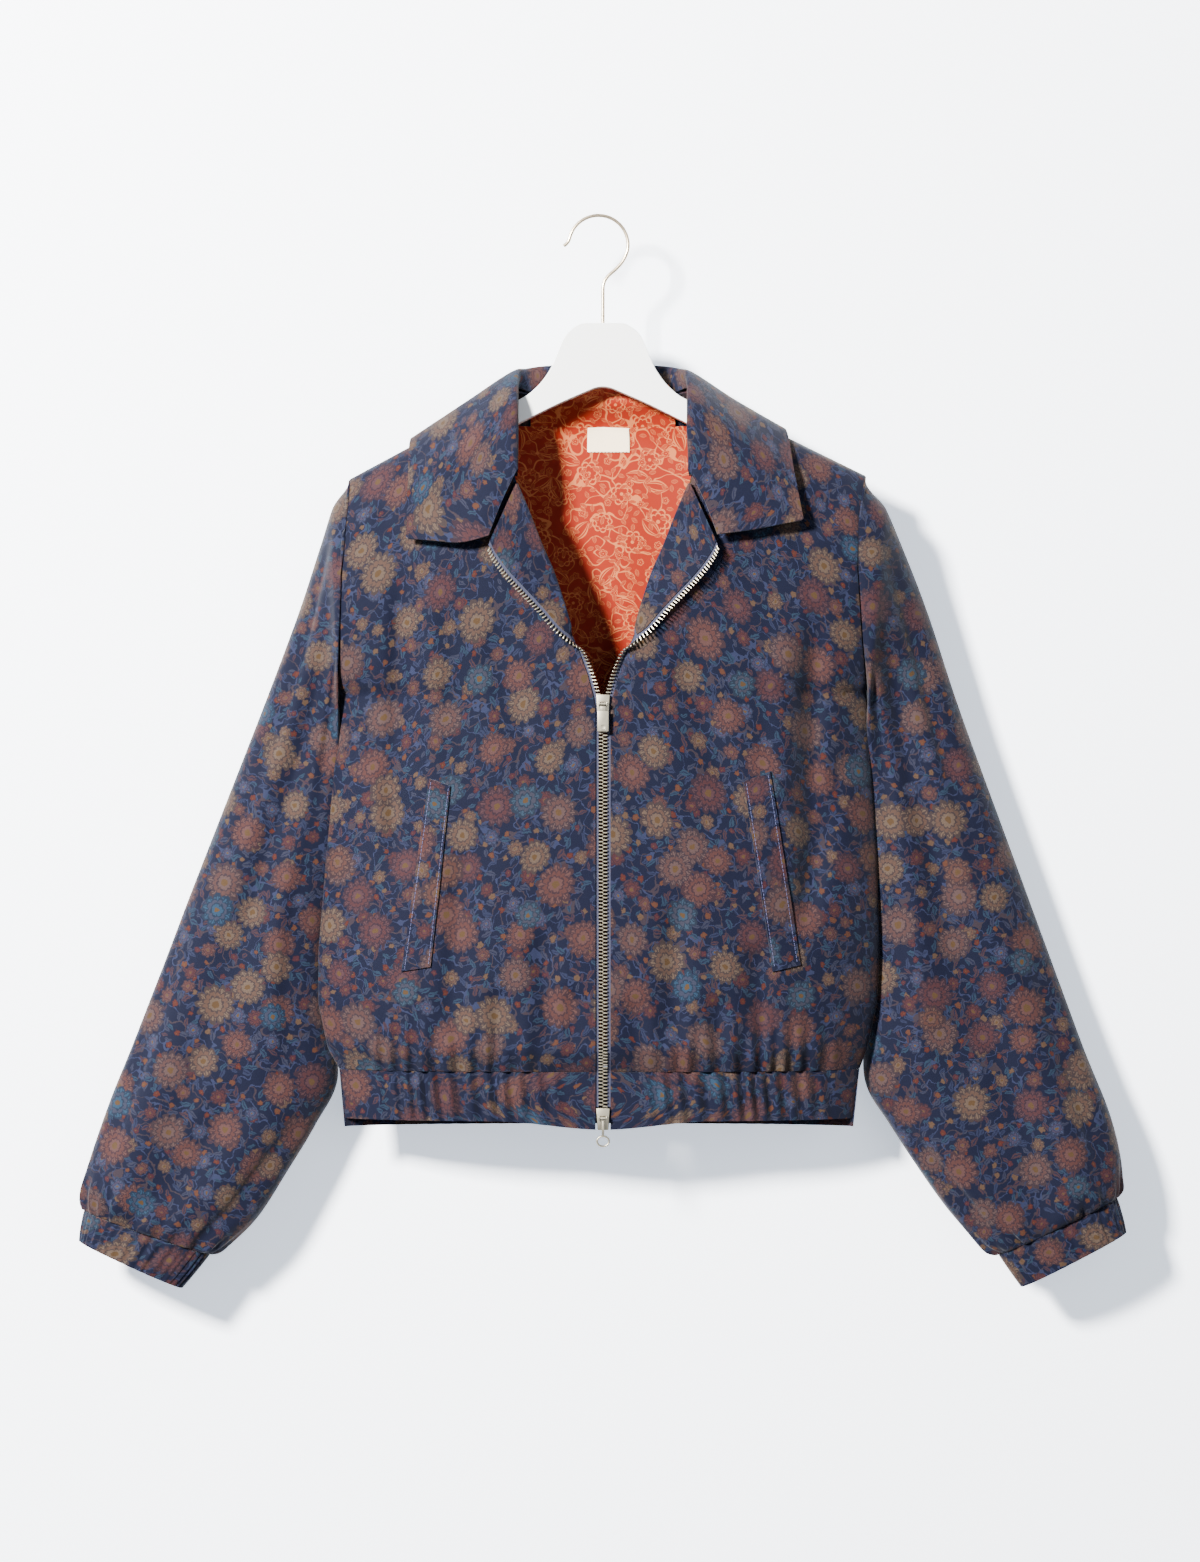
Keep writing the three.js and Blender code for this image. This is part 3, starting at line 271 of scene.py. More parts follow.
def cloth_grid(
    name, form, across, down, shift=(0, 0), cloth=CLOTH, closed=False, outside=1, turn=0, inset=0, strip=False, arm=None
):
    """A piece of cloth over form(u, v), where u and v are arrays of shares across and down."""
    columns, rows = len(across), len(down)
    bpy.ops.mesh.primitive_grid_add(x_subdivisions=columns - 1, y_subdivisions=rows - 1, size=1)
    piece = bpy.context.object
    piece.name = piece.data.name = f"{name}_piece"
    u, v = np.meshgrid(across, down)
    points = form(u, v)
    if inset:
        facing = np.cross(np.gradient(points, axis=1), np.gradient(points, axis=0))
        points = points - outside * inset * facing / np.linalg.norm(facing, axis=-1, keepdims=True)
    piece.data.vertices.foreach_set("co", (points * MM).astype(np.float32).ravel())
    step_u = np.linalg.norm(np.diff(points, axis=1), axis=2) * MM
    step_v = np.linalg.norm(np.diff(points, axis=0), axis=2) * MM
    middle = columns // 2
    run_u = np.concatenate([np.zeros((rows, 1)), np.cumsum(step_u, axis=1)], axis=1)
    run_u -= run_u[:, middle : middle + 1]
    run_v = np.concatenate([[0], np.cumsum(step_v[:, middle])])
    flat_u, flat_v = run_u, np.broadcast_to(-run_v[:, None], run_u.shape)
    if strip:
        half = rows // 2
        down_each = np.concatenate([np.zeros((1, columns)), np.cumsum(step_v, axis=0)])
        flat_u, flat_v = np.broadcast_to(run_u[half], run_u.shape), down_each[half] - down_each
    if arm:
        flat_u, flat_v = arm_map(points, arm)
    if turn:
        c, s = math.cos(turn), math.sin(turn)
        flat_u, flat_v = c * flat_u - s * flat_v, s * flat_u + c * flat_v
    flat = np.stack([flat_u + shift[0], flat_v + shift[1]], axis=-1).reshape(-1, 2)
    mesh = piece.data
    corner = np.zeros(len(mesh.loops), np.int32)
    mesh.loops.foreach_get("vertex_index", corner)
    while mesh.uv_layers:
        mesh.uv_layers.remove(mesh.uv_layers[0])
    layer = mesh.uv_layers.new(name="cloth")
    layer.data.foreach_set("uv", flat[corner].astype(np.float32).ravel())
    if outside < 0:
        mesh.flip_normals()
    cut = float(np.linalg.norm(np.cross(np.diff(points, axis=1)[:-1], np.diff(points, axis=0)[:, :-1]), axis=2).sum())
    cut *= MM * MM
    piece["cut"] = [float((run_u[:, -1] - run_u[:, 0]).max()), float(run_v[-1]), cut]
    if closed:
        select_only(piece)
        bpy.ops.object.mode_set(mode="EDIT")
        bpy.ops.mesh.select_all(action="SELECT")
        bpy.ops.mesh.remove_doubles(threshold=1e-6)
        bpy.ops.object.mode_set(mode="OBJECT")
    solidify = piece.modifiers.new("thickness", "SOLIDIFY")
    solidify.thickness = cloth * MM
    solidify.offset = -1
    select_only(piece)
    bpy.ops.object.modifier_apply(modifier="thickness")
    bpy.ops.object.shade_smooth_by_angle(angle=math.radians(50))
    return piece


def finish_cloth(piece, material, nodes):
    piece.data.materials.append(material)
    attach(piece, JACKET)
    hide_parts(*nodes)
    width, length, area = (round(value, 5) for value in piece["cut"])
    print(f"{piece.name}: cut {width * 1000:.0f} x {length * 1000:.0f} mm, {len(piece.data.polygons)} faces")


def spaced(count, low=0.0, high=1.0):
    return np.linspace(low, high, count + 1)


def towards_side(count):
    """Shares of the half width that crowd together where the cloth turns round the side."""
    return np.sin(np.linspace(0, math.pi / 2, count + 1)) ** (2 / SIDE_ROUND)


def mix(a, b, t):
    return a + (b - a) * t


# %% [markdown]
# A printed cloth is drawn here with nodes instead of a picture. Every kind of flower starts from Voronoi cells in the
# cloth's own metres. A cell gives a centre and a few random numbers, and polar coordinates round that centre turn
# them into petals. The leaves, the buds and the thin vines use the same idea at smaller sizes.

# %% Node helpers


def rgb(red, green, blue):
    """A colour in the renderer's linear light, from everyday 0 to 255 values."""
    parts = [c / 255 for c in (red, green, blue)]
    return tuple(c / 12.92 if c <= 0.04045 else ((c + 0.055) / 1.055) ** 2.4 for c in parts) + (1,)


class Sketch:
    """A material's node tree, with short calls for the nodes that a print needs."""

    def __init__(self, name):
        self.material = bpy.data.materials.new(name)
        self.material.use_nodes = True
        self.tree = self.material.node_tree
        self.shader = self.tree.nodes["Principled BSDF"]

    def put(self, socket, value):
        if isinstance(value, bpy.types.NodeSocket):
            self.tree.links.new(value, socket)
        else:
            socket.default_value = value

    def math(self, operation, *values):
        node = self.tree.nodes.new("ShaderNodeMath")
        node.operation = operation
        for socket, value in zip(node.inputs, values):
            self.put(socket, value)
        return node.outputs[0]

    def vector(self, operation, *values):
        node = self.tree.nodes.new("ShaderNodeVectorMath")
        node.operation = operation
        for socket, value in zip(node.inputs, values):
            self.put(socket, value)
        return node.outputs[0]

    def split(self, vector):
        node = self.tree.nodes.new("ShaderNodeSeparateXYZ")
        self.put(node.inputs[0], vector)
        return node.outputs

    def over(self, share, below, above):
        """Lays one colour over another where the share is 1."""
        node = self.tree.nodes.new("ShaderNodeMix")
        node.data_type = "RGBA"
        self.put(node.inputs["Factor"], share)
        self.put(node.inputs["A"], below)
        self.put(node.inputs["B"], above)
        return node.outputs["Result"]

    def pick(self, value, colours):
        """One of the colours, chosen by a value from 0 to 1."""
        node = self.tree.nodes.new("ShaderNodeValToRGB")
        ramp = node.color_ramp
        ramp.interpolation = "CONSTANT"
        while len(ramp.elements) < len(colours):
            ramp.elements.new(0.5)
        for i, colour in enumerate(colours):
            ramp.elements[i].position = i / len(colours)
            ramp.elements[i].color = colour
        self.put(node.inputs[0], value)
        return node.outputs[0]

    def noise(self, at, scale, detail=2.0):
        node = self.tree.nodes.new("ShaderNodeTexNoise")
        node.noise_dimensions = "2D"
        self.put(node.inputs["Vector"], at)
        node.inputs["Scale"].default_value = scale
        node.inputs["Detail"].default_value = detail
        return node.outputs["Fac"]

    def turned(self, at, angle, shift):
        node = self.tree.nodes.new("ShaderNodeMapping")
        self.put(node.inputs["Vector"], at)
        node.inputs["Rotation"].default_value = (0, 0, angle)
        node.inputs["Location"].default_value = (shift, shift * 0.7, 0)
        return node.outputs[0]

    def cells(self, at, pitch, loose):
        """Offset from the nearest cell centre in metres, and three random numbers of the cell."""
        node = self.tree.nodes.new("ShaderNodeTexVoronoi")
        node.voronoi_dimensions = "2D"
        self.put(node.inputs["Vector"], at)
        node.inputs["Scale"].default_value = 1 / pitch
        node.inputs["Randomness"].default_value = loose
        offset = self.vector("SUBTRACT", at, node.outputs["Position"])
        return self.split(offset), self.split(node.outputs["Color"])

    def less(self, a, b):
        return self.math("LESS_THAN", a, b)

    def band(self, value, middle, half):
        return self.less(self.math("ABSOLUTE", self.math("SUBTRACT", value, middle)), half)


print("node helpers ready")

# %% Flowers, leaves and vines


def flowers(sketch, at, pitch, radius, petals, loose=0.5, turn=0.0, shift=0.0, present=1.0):
    """Shares of radius for three rings of petals, the cell's random numbers, and 1 where a flower grows."""
    place = sketch.turned(at, turn, shift)
    (x, y, _), (pick, spin, size) = sketch.cells(place, pitch, loose)
    away = sketch.math("SQRT", sketch.math("ADD", sketch.math("MULTIPLY", x, x), sketch.math("MULTIPLY", y, y)))
    full = sketch.math("MULTIPLY_ADD", size, 0.35 * radius, 0.8 * radius)
    share = sketch.math("DIVIDE", away, full)
    angle = sketch.math("MULTIPLY_ADD", spin, 6.283, sketch.math("ARCTAN2", y, x))
    rings = []
    for count, reach, slip in ((petals, 1.0, 0.0), (petals, 0.72, 1.57), (petals - 2, 0.44, 0.6)):
        wave = sketch.math("ABSOLUTE", sketch.math("COSINE", sketch.math("MULTIPLY_ADD", angle, count / 2, slip)))
        edge = sketch.math("MULTIPLY_ADD", sketch.math("POWER", wave, 0.55), 0.3 * reach, 0.72 * reach)
        rings.append(sketch.math("DIVIDE", share, edge))
    here = sketch.less(size, present)
    return rings, share, angle, pick, here


def leaves(sketch, at, pitch, long, wide, loose=0.8, turn=0.0, shift=0.0, present=0.75):
    """A share that is below 1 inside each leaf, and the leaf's random numbers."""
    place = sketch.turned(at, turn, shift)
    (x, y, _), (pick, spin, size) = sketch.cells(place, pitch, loose)
    angle = sketch.math("MULTIPLY", spin, 6.283)
    c, s = sketch.math("COSINE", angle), sketch.math("SINE", angle)
    along = sketch.math("ADD", sketch.math("MULTIPLY", x, c), sketch.math("MULTIPLY", y, s))
    aside = sketch.math("SUBTRACT", sketch.math("MULTIPLY", y, c), sketch.math("MULTIPLY", x, s))
    along = sketch.math("DIVIDE", along, long)
    aside = sketch.math("DIVIDE", sketch.math("ABSOLUTE", aside), wide)
    bulge = sketch.math("SUBTRACT", 1.0, sketch.math("MULTIPLY", along, along))
    inside = sketch.math("DIVIDE", aside, sketch.math("MAXIMUM", bulge, 0.001))
    return inside, along, pick, sketch.less(size, present)


def vine(sketch, at, scale, half, seed):
    """1 on a thin winding line."""
    drift = sketch.turned(at, seed, seed)
    return sketch.band(sketch.noise(drift, scale, 1.0), 0.5, half)


def weave(sketch, at, pitch):
    """The height of a plain weave, as crossing ribs."""
    x, y, _ = sketch.split(at)
    across = sketch.math("SINE", sketch.math("MULTIPLY", x, 2 * math.pi / pitch))
    along = sketch.math("SINE", sketch.math("MULTIPLY", y, 2 * math.pi / pitch))
    return sketch.math("MULTIPLY", across, along)


def cloth_finish(sketch, colour, at, rough=0.75, sheen=0.08, depth=0.00012):
    """Colour, roughness, a soft sheen and the bump of the weave."""
    sketch.put(sketch.shader.inputs["Base Color"], colour)
    sketch.shader.inputs["Roughness"].default_value = rough
    sketch.shader.inputs["Sheen Weight"].default_value = sheen
    sketch.shader.inputs["Sheen Roughness"].default_value = 0.45
    sketch.shader.inputs["Specular IOR Level"].default_value = 0.08
    bump = sketch.tree.nodes.new("ShaderNodeBump")
    bump.inputs["Distance"].default_value = depth
    bump.inputs["Strength"].default_value = 0.4
    sketch.put(bump.inputs["Height"], weave(sketch, at, 0.0011))
    sketch.put(sketch.shader.inputs["Normal"], bump.outputs["Normal"])
    return sketch.material


def cloth_map(sketch):
    node = sketch.tree.nodes.new("ShaderNodeUVMap")
    node.uv_map = "cloth"
    return node.outputs["UV"]


print("drawing functions ready")

# %% [markdown]
# The outer cloth is a dense chintz: a navy ground, lilac-blue leaves on thin vines, small red buds, and round
# many-petalled flowers in rose, tan and a little sky blue. Each ring of petals has a darker edge, and a fine grain
# breaks the colour up the way yarn does.

# %% The chintz print


def chintz(name, shade=1.0):
    sketch = Sketch(name)
    at = cloth_map(sketch)
    wobble = sketch.tree.nodes.new("ShaderNodeTexNoise")
    wobble.noise_dimensions = "2D"
    sketch.put(wobble.inputs["Vector"], at)
    wobble.inputs["Scale"].default_value = 220
    drift = sketch.vector("SUBTRACT", wobble.outputs["Color"], (0.5, 0.5, 0.5))
    drift = sketch.vector("MULTIPLY", drift, (0.0036, 0.0036, 0))
    at_drawn = sketch.vector("ADD", at, drift)
    colour = sketch.over(sketch.noise(at, 900, 1.0), rgb(32, 42, 92), rgb(46, 58, 114))
    for scale, half, seed, tint in ((38, 0.012, 1.3, rgb(124, 104, 122)), (52, 0.013, 4.1, rgb(104, 116, 176))):
        colour = sketch.over(vine(sketch, at_drawn, scale, half, seed), colour, tint)
    for pitch, long, wide, turn, shift in ((0.0085, 0.0036, 0.0014, 0.4, 0.1), (0.011, 0.005, 0.0019, 1.2, 0.6)):
        inside, along, pick, here = leaves(sketch, at_drawn, pitch, long, wide, turn=turn, shift=shift)
        tint = sketch.pick(pick, [rgb(92, 104, 158), rgb(110, 114, 152), rgb(140, 98, 112), rgb(88, 124, 164)])
        tint = sketch.over(sketch.less(inside, 0.22), tint, rgb(60, 68, 122))
        colour = sketch.over(sketch.math("MULTIPLY", sketch.less(inside, 1.0), here), colour, tint)
    kinds = (
        # pitch, radius, petals, turn, shift, present, colours
        (
            0.015, 0.0028, 5, 0.2, 0.3, 0.8,
            [rgb(176, 88, 78), rgb(192, 120, 92), rgb(150, 80, 98), rgb(190, 148, 120)],
        ),
        (
            0.027, 0.0068, 8, 0.9, 0.8, 0.8,
            [rgb(186, 132, 128), rgb(206, 168, 144), rgb(128, 142, 196), rgb(170, 106, 112)],
        ),
        (
            0.045, 0.0155, 13, 0.5, 1.7, 0.95,
            [rgb(196, 138, 132), rgb(210, 176, 152), rgb(168, 116, 126), rgb(190, 150, 146)],
        ),
        (
            0.085, 0.0135, 9, 1.3, 2.9, 0.85,
            [rgb(96, 148, 196), rgb(196, 146, 132), rgb(112, 150, 186), rgb(208, 172, 150)],
        ),
    )
    for pitch, radius, petals, turn, shift, present, tints in kinds:
        rings, share, angle, pick, here = flowers(sketch, at_drawn, pitch, radius, petals, 0.62, turn, shift, present)
        tint = sketch.pick(pick, tints)
        dark = sketch.over(0.66, tint, rgb(48, 40, 82))
        warm = sketch.over(0.35, tint, rgb(150, 60, 58))
        flower = sketch.over(sketch.less(rings[0], 0.84), dark, tint)
        if radius > 0.004:
            rays = sketch.less(sketch.math("COSINE", sketch.math("MULTIPLY", angle, petals * 3.0)), -0.55)
            flower = sketch.over(sketch.math("MULTIPLY", rays, sketch.less(0.5, share)), flower, dark)
            flower = sketch.over(sketch.less(rings[1], 1.0), flower, dark)
            flower = sketch.over(sketch.less(rings[1], 0.86), flower, warm)
            flower = sketch.over(sketch.less(rings[2], 1.0), flower, dark)
            flower = sketch.over(sketch.less(rings[2], 0.8), flower, tint)
        flower = sketch.over(sketch.less(share, 0.16), flower, rgb(186, 142, 96))
        colour = sketch.over(sketch.math("MULTIPLY", sketch.less(rings[0], 1.0), here), colour, flower)
    grain = sketch.math("MULTIPLY_ADD", sketch.noise(at, 1500, 2.0), 0.75, 0.62)
    grain = sketch.math("MULTIPLY", grain, shade)
    scaled = sketch.tree.nodes.new("ShaderNodeVectorMath")
    scaled.operation = "SCALE"
    sketch.put(scaled.inputs[0], colour)
    sketch.put(scaled.inputs["Scale"], grain)
    return cloth_finish(sketch, scaled.outputs[0], at)


shell_cloth = chintz("chintz cloth", 0.066)
print("outer cloth nodes:", len(shell_cloth.node_tree.nodes))

# %% [markdown]
# The lining is a thinner, brighter cloth: an orange ground with cream outlines of flowers, drops and scrolls. It is
# drawn by the same functions, but only the edges of each shape are kept.

# %% The lining print


def line_print(name):
    sketch = Sketch(name)
    at = cloth_map(sketch)
    orange, cream = rgb(112, 24, 6), rgb(164, 96, 54)
    lines = sketch.math("MAXIMUM", vine(sketch, at, 30, 0.012, 2.2), vine(sketch, at, 44, 0.012, 5.4))
    for pitch, radius, petals, turn, shift in ((0.034, 0.0105, 8, 0.7, 0.4), (0.016, 0.0034, 5, 0.1, 1.1)):
        rings, share, angle, pick, here = flowers(sketch, at, pitch, radius, petals, 0.5, turn, shift, 0.8)
        drawn = sketch.math("MAXIMUM", sketch.band(rings[0], 0.94, 0.07), sketch.band(rings[1], 0.9, 0.08))
        drawn = sketch.math("MAXIMUM", drawn, sketch.less(share, 0.15))
        clear = sketch.math("MULTIPLY", sketch.less(rings[0], 1.02), here)
        kept = sketch.math("MULTIPLY", lines, sketch.math("SUBTRACT", 1.0, clear))
        lines = sketch.math("MAXIMUM", kept, sketch.math("MULTIPLY", drawn, clear))
    large, small = (0.026, 0.0105, 0.0056, 1.9, 2.0, 0.5), (0.0075, 0.0034, 0.0016, 0.5, 3.0, 0.3)
    for pitch, long, wide, turn, shift, inner in (large, small):
        inside, along, pick, here = leaves(sketch, at, pitch, long, wide, 0.6, turn, shift, 0.7)
        drawn = sketch.math("MAXIMUM", sketch.band(inside, 0.88, 0.12), sketch.band(inside, inner, 0.07))
        clear = sketch.math("MULTIPLY", sketch.less(inside, 1.0), here)
        kept = sketch.math("MULTIPLY", lines, sketch.math("SUBTRACT", 1.0, clear))
        lines = sketch.math("MAXIMUM", kept, sketch.math("MULTIPLY", drawn, clear))
    colour = sketch.over(sketch.math("MULTIPLY", lines, 0.72), orange, cream)
    return cloth_finish(sketch, colour, at, rough=0.6, sheen=0.05)


lining_cloth = line_print("lining cloth")
print("lining nodes:", len(lining_cloth.node_tree.nodes))

# %% [markdown]
# Four plain finishes are left. The zip is brushed nickel, the hook is a warmer wire, the hanger is satin white paint
# with a faint unevenness, and the label and the zip tape are plain woven ribbon.

# %% Plain finishes


def plain(name, colour, rough, metal=0.0, uneven=0.04, coat=0.0):
    sketch = Sketch(name)
    coordinates = sketch.tree.nodes.new("ShaderNodeTexCoord")
    texture = sketch.tree.nodes.new("ShaderNodeTexNoise")
    sketch.put(texture.inputs["Vector"], coordinates.outputs["Object"])
    texture.inputs["Scale"].default_value = 180
    sketch.shader.inputs["Base Color"].default_value = colour
    sketch.shader.inputs["Metallic"].default_value = metal
    sketch.shader.inputs["Coat Weight"].default_value = coat
    low = rough - uneven / 2
    sketch.put(
        sketch.shader.inputs["Roughness"], sketch.math("MULTIPLY_ADD", texture.outputs["Fac"], uneven, low)
    )
    return sketch.material


nickel = plain("brushed nickel", rgb(150, 143, 126), 0.38, metal=1.0, uneven=0.12)
warm_wire = plain("hook wire", rgb(190, 172, 146), 0.28, metal=1.0, uneven=0.08)
white_paint = plain("satin paint", rgb(224, 224, 222), 0.42, uneven=0.06, coat=0.15)
ribbon = plain("cream ribbon", rgb(226, 206, 172), 0.8)
tape_cloth = plain("zip tape", rgb(30, 32, 52), 0.85)
thread = plain("thread", rgb(60, 62, 96), 0.7)
pale_thread = plain("pale thread", rgb(238, 226, 200), 0.7)
print("plain finishes: 7")

# %% [markdown]
# The back and the two fronts are cut from the chintz and sewn at the shoulders and the sides. Each front is a sheet
# that stops at the roll of its lapel. The elastic in the waistband draws the lower edge up, so short gathers fan out
# of the waist seam and die away a hand's width above it.

# %% The back and the fronts
BACK_NECK_DROP, BACK_NECK_RUN = 6, 35


def back_top(x):
    return shoulder_z(x) - BACK_NECK_DROP * ease((NECK_HALF - np.abs(x)) / BACK_NECK_RUN)


def back_form(u, v):
    sign = np.where(u < 0, -1.0, 1.0)
    tip_x = np.where(u < 0, EDGE_X["right"][0], EDGE_X["left"][0])
    outer_z = mix(tip_z(sign), WAIST_Z, v)
    x = u * edge_at(sign, outer_z)
    return on_body("back", x, mix(back_top(u * tip_x), WAIST_Z, v))


def front_form(sign):
    def form(u, v):
        inner_z = mix(NECK_Z, WAIST_Z, v)
        outer_z = mix(tip_z(np.full_like(v, sign)), WAIST_Z, v)
        x = mix(at_height(inner_z, OPEN_Z, OPEN_X), edge_at(np.full_like(v, sign), outer_z), u)
        return on_body("front", sign * x, mix(inner_z, outer_z, u))

    return form


half_back = towards_side(110)
both_back = np.concatenate([-half_back[:0:-1], half_back])
down_body = np.concatenate([[0, 0.003, 0.008, 0.018, 0.03, 0.045], spaced(120, 0.06, 1.0)])
back = cloth_grid("back", back_form, both_back, down_body)
finish_cloth(back, shell_cloth, ["back"])
for side, sign in SIDES.items():
    front = cloth_grid(
        f"front_{side}", front_form(sign), towards_side(130), down_body, shift=(0.31 * sign, 0.17), outside=-sign
    )
    finish_cloth(front, shell_cloth, [f"front_{side}"])

# %% [markdown]
# A lapel is the top of the front folded over at the roll line. What shows is the facing, the second layer of cloth
# sewn to its back, so the lapel is modelled as one thicker sheet that turns on a small curve and lies on the front.

# %% Lapels
ROLL_RADIUS, LAPEL_BEND, LAPEL_CLOTH = 2.6, 0.35, 3.2
LAPEL_ROWS = [
    # roll x and z, edge x and z, turn in degrees, lift
    (28.5, -347, 28, -353, 75, 4),
    (31, -338, 36, -347, 125, 7),
    (35, -325, 49, -332, 150, 9),
    (43, -301, 64, -316, 162, 11),
    (53, -278, 78, -301, 166, 12),
    (63.5, -251, 89, -286, 168, 12),
    (73.3, -227.5, 94, -275.5, 168, 12),
]


def along_rows(rows, t):
    """A smooth curve through the rows of a table, at shares t from the first row to the last."""
    rows = np.array(rows, float)
    last = len(rows) - 1
    place = np.clip(np.asarray(t, float), 0, 1) * last
    k = np.minimum(np.floor(place).astype(int), last - 1)
    f = (place - k)[..., None]
    a, b = rows[np.maximum(k - 1, 0)], rows[k]
    c, d = rows[k + 1], rows[np.minimum(k + 2, last)]
    return 0.5 * (2 * b + (c - a) * f + (2 * a - 5 * b + 4 * c - d) * f**2 + (3 * b - a - 3 * c + d) * f**3)


def lapel_form(sign):
    def form(u, v):
        row = along_rows(LAPEL_ROWS, v)
        roll = on_body("front", sign * row[..., 0], row[..., 1])
        edge = on_body("front", sign * row[..., 2], row[..., 3])
        edge[..., 1] -= row[..., 5]
        bend = np.radians(row[..., 4]) * np.clip(u / LAPEL_BEND, 0, 1)
        inwards = np.array([-sign * 0.94, 0, 0.34])
        curl = roll + ROLL_RADIUS * np.sin(bend)[..., None] * inwards
        curl[..., 1] -= ROLL_RADIUS * (1 - np.cos(bend))
        flat = np.clip((u - LAPEL_BEND) / (1 - LAPEL_BEND), 0, 1)[..., None]
        return mix(curl, edge, flat)

    return form


for side, sign in SIDES.items():
    shares = np.concatenate([spaced(14, 0, LAPEL_BEND), spaced(26, LAPEL_BEND + 0.02, 1.0)])
    lapel = cloth_grid(
        f"lapel_{side}", lapel_form(sign), shares, spaced(60), shift=(0.7 * sign, 0.4),
        cloth=LAPEL_CLOTH, outside=sign,
    )
    finish_cloth(lapel, shell_cloth, [f"facing_{side}"])

# %% [markdown]
# The collar is one strip that stands up from the neck seam, folds, and falls over the shoulders. Its table walks
# round the neck from one notch to the other. Every row gives the seam, the fold, the middle of the fall and the
# free edge.

# %% Collar
COLLAR_CLOTH, COLLAR_LIFT = 2.2, 0.6
COLLAR = {
    "left": [
        # where the seam lies, its x and z, then fold, middle and edge
        ("front", 71.8, -220.5, (71.5, -43, -216), (84, -48, -241), (95, -54, -270)),
        ("front", 71.8, -205, (73, -41, -201), (100, -47, -235), (125, -52, -266)),
        ("front", 71.8, -187, (74, -36, -183), (121, -42, -222), (167, -45, -257.5)),
        ("front", 71.8, -167, (74, -26, -156), (117, -30, -187), (160, -33, -218)),
        ("ridge", 71.8, -144.8, (73, 0, -131), (113, 0, -155), (154, 0, -178)),
        ("back", 63, -145.8, (66, 15, -126), (106, 22, -158), (146, 27, -196)),
        ("back", 46, -149.6, (46, 19, -123), (68, 35, -160), (92, 40, -209)),
    ],
    "right": [
        ("front", 71.8, -220.5, (71.5, -43, -216), (84, -48, -242), (95, -54, -271)),
        ("front", 71.8, -205, (73, -41, -201), (100, -47, -239), (122, -52, -277)),
        ("front", 71.8, -187, (75, -36, -183), (121, -42, -230), (164, -46, -273)),
        ("front", 71.8, -167, (75, -26, -156), (118, -30, -192), (163, -36, -230)),
        ("ridge", 71.8, -144.8, (74, 0, -130), (116, 0, -156), (162, 0, -186)),
        ("back", 63, -145.8, (66, 15, -126), (108, 22, -161), (150, 27, -204)),
        ("back", 46, -149.6, (46, 19, -123), (68, 35, -160), (92, 40, -209)),
    ],
    "back": [("back", 0, -151.3, (0, 22, -121.5), (0, 40, -163), (0, 43, -205))],
}


def collar_station(sign, row):
    face, x, z, *rest = row
    seam_x = np.array([sign * x], float)
    if face == "front":
        y = -depth_at("front", seam_x, np.array([z], float))[0] - COLLAR_LIFT
    else:
        y = 0 if face == "ridge" else depth_at("back", seam_x, back_top(seam_x))[0]
    points = [(x, y, z), *rest]
    return [value for px, py, pz in points for value in (sign * px, py, pz)]


stations = [collar_station(-1, row) for row in COLLAR["right"]]
stations += [collar_station(1, row) for row in COLLAR["back"] + COLLAR["left"][::-1]]


def collar_form(u, v):
    rows = along_rows(stations, u).reshape(*u.shape, 4, 3)
    place = u * (len(stations) - 1)
    flat = np.stack([np.interp(place, range(len(stations)), column) for column in zip(*stations)], axis=-1)
    flat = flat.reshape(*u.shape, 4, 3)
    corner = np.minimum(np.abs(place - 2), np.abs(place - len(stations) + 3))
    sharp = ease((1.25 - corner) * 2)[..., None]
    rows[..., 3, :] = mix(rows[..., 3, :], flat[..., 3, :], sharp)
    place = v * 3
    k = np.minimum(np.floor(place).astype(int), 2)
    f = (place - k)[..., None]

    def pick(i):
        return np.take_along_axis(rows, np.clip(i, 0, 3)[..., None, None], axis=-2)[..., 0, :]

    a, b, c, d = pick(k - 1), pick(k), pick(k + 1), pick(k + 2)
    point = 0.5 * (2 * b + (c - a) * f + (2 * a - 5 * b + 4 * c - d) * f**2 + (3 * b - a - 3 * c + d) * f**3)
    fall = ease((v - 0.4) * 2.5)
    swell = slow_noise(u * 560, v * 90, 31, size=70, high=1.1) * fall
    point[..., 1] -= swell * np.where(np.abs(u - 0.5) > 0.25, 1, -1)
    return point


collar = cloth_grid(
    "collar", collar_form, spaced(200), spaced(46), shift=(0.0, 0.83), cloth=COLLAR_CLOTH, strip=True
)
finish_cloth(collar, shell_cloth, ["collar"])

# %% [markdown]
# A sleeve is a tube whose sections are measured from the armhole to the cuff. It hangs nearly straight, so its folds
# are long and shallow near the shoulder, and then short and steep where the elastic of the cuff gathers it.

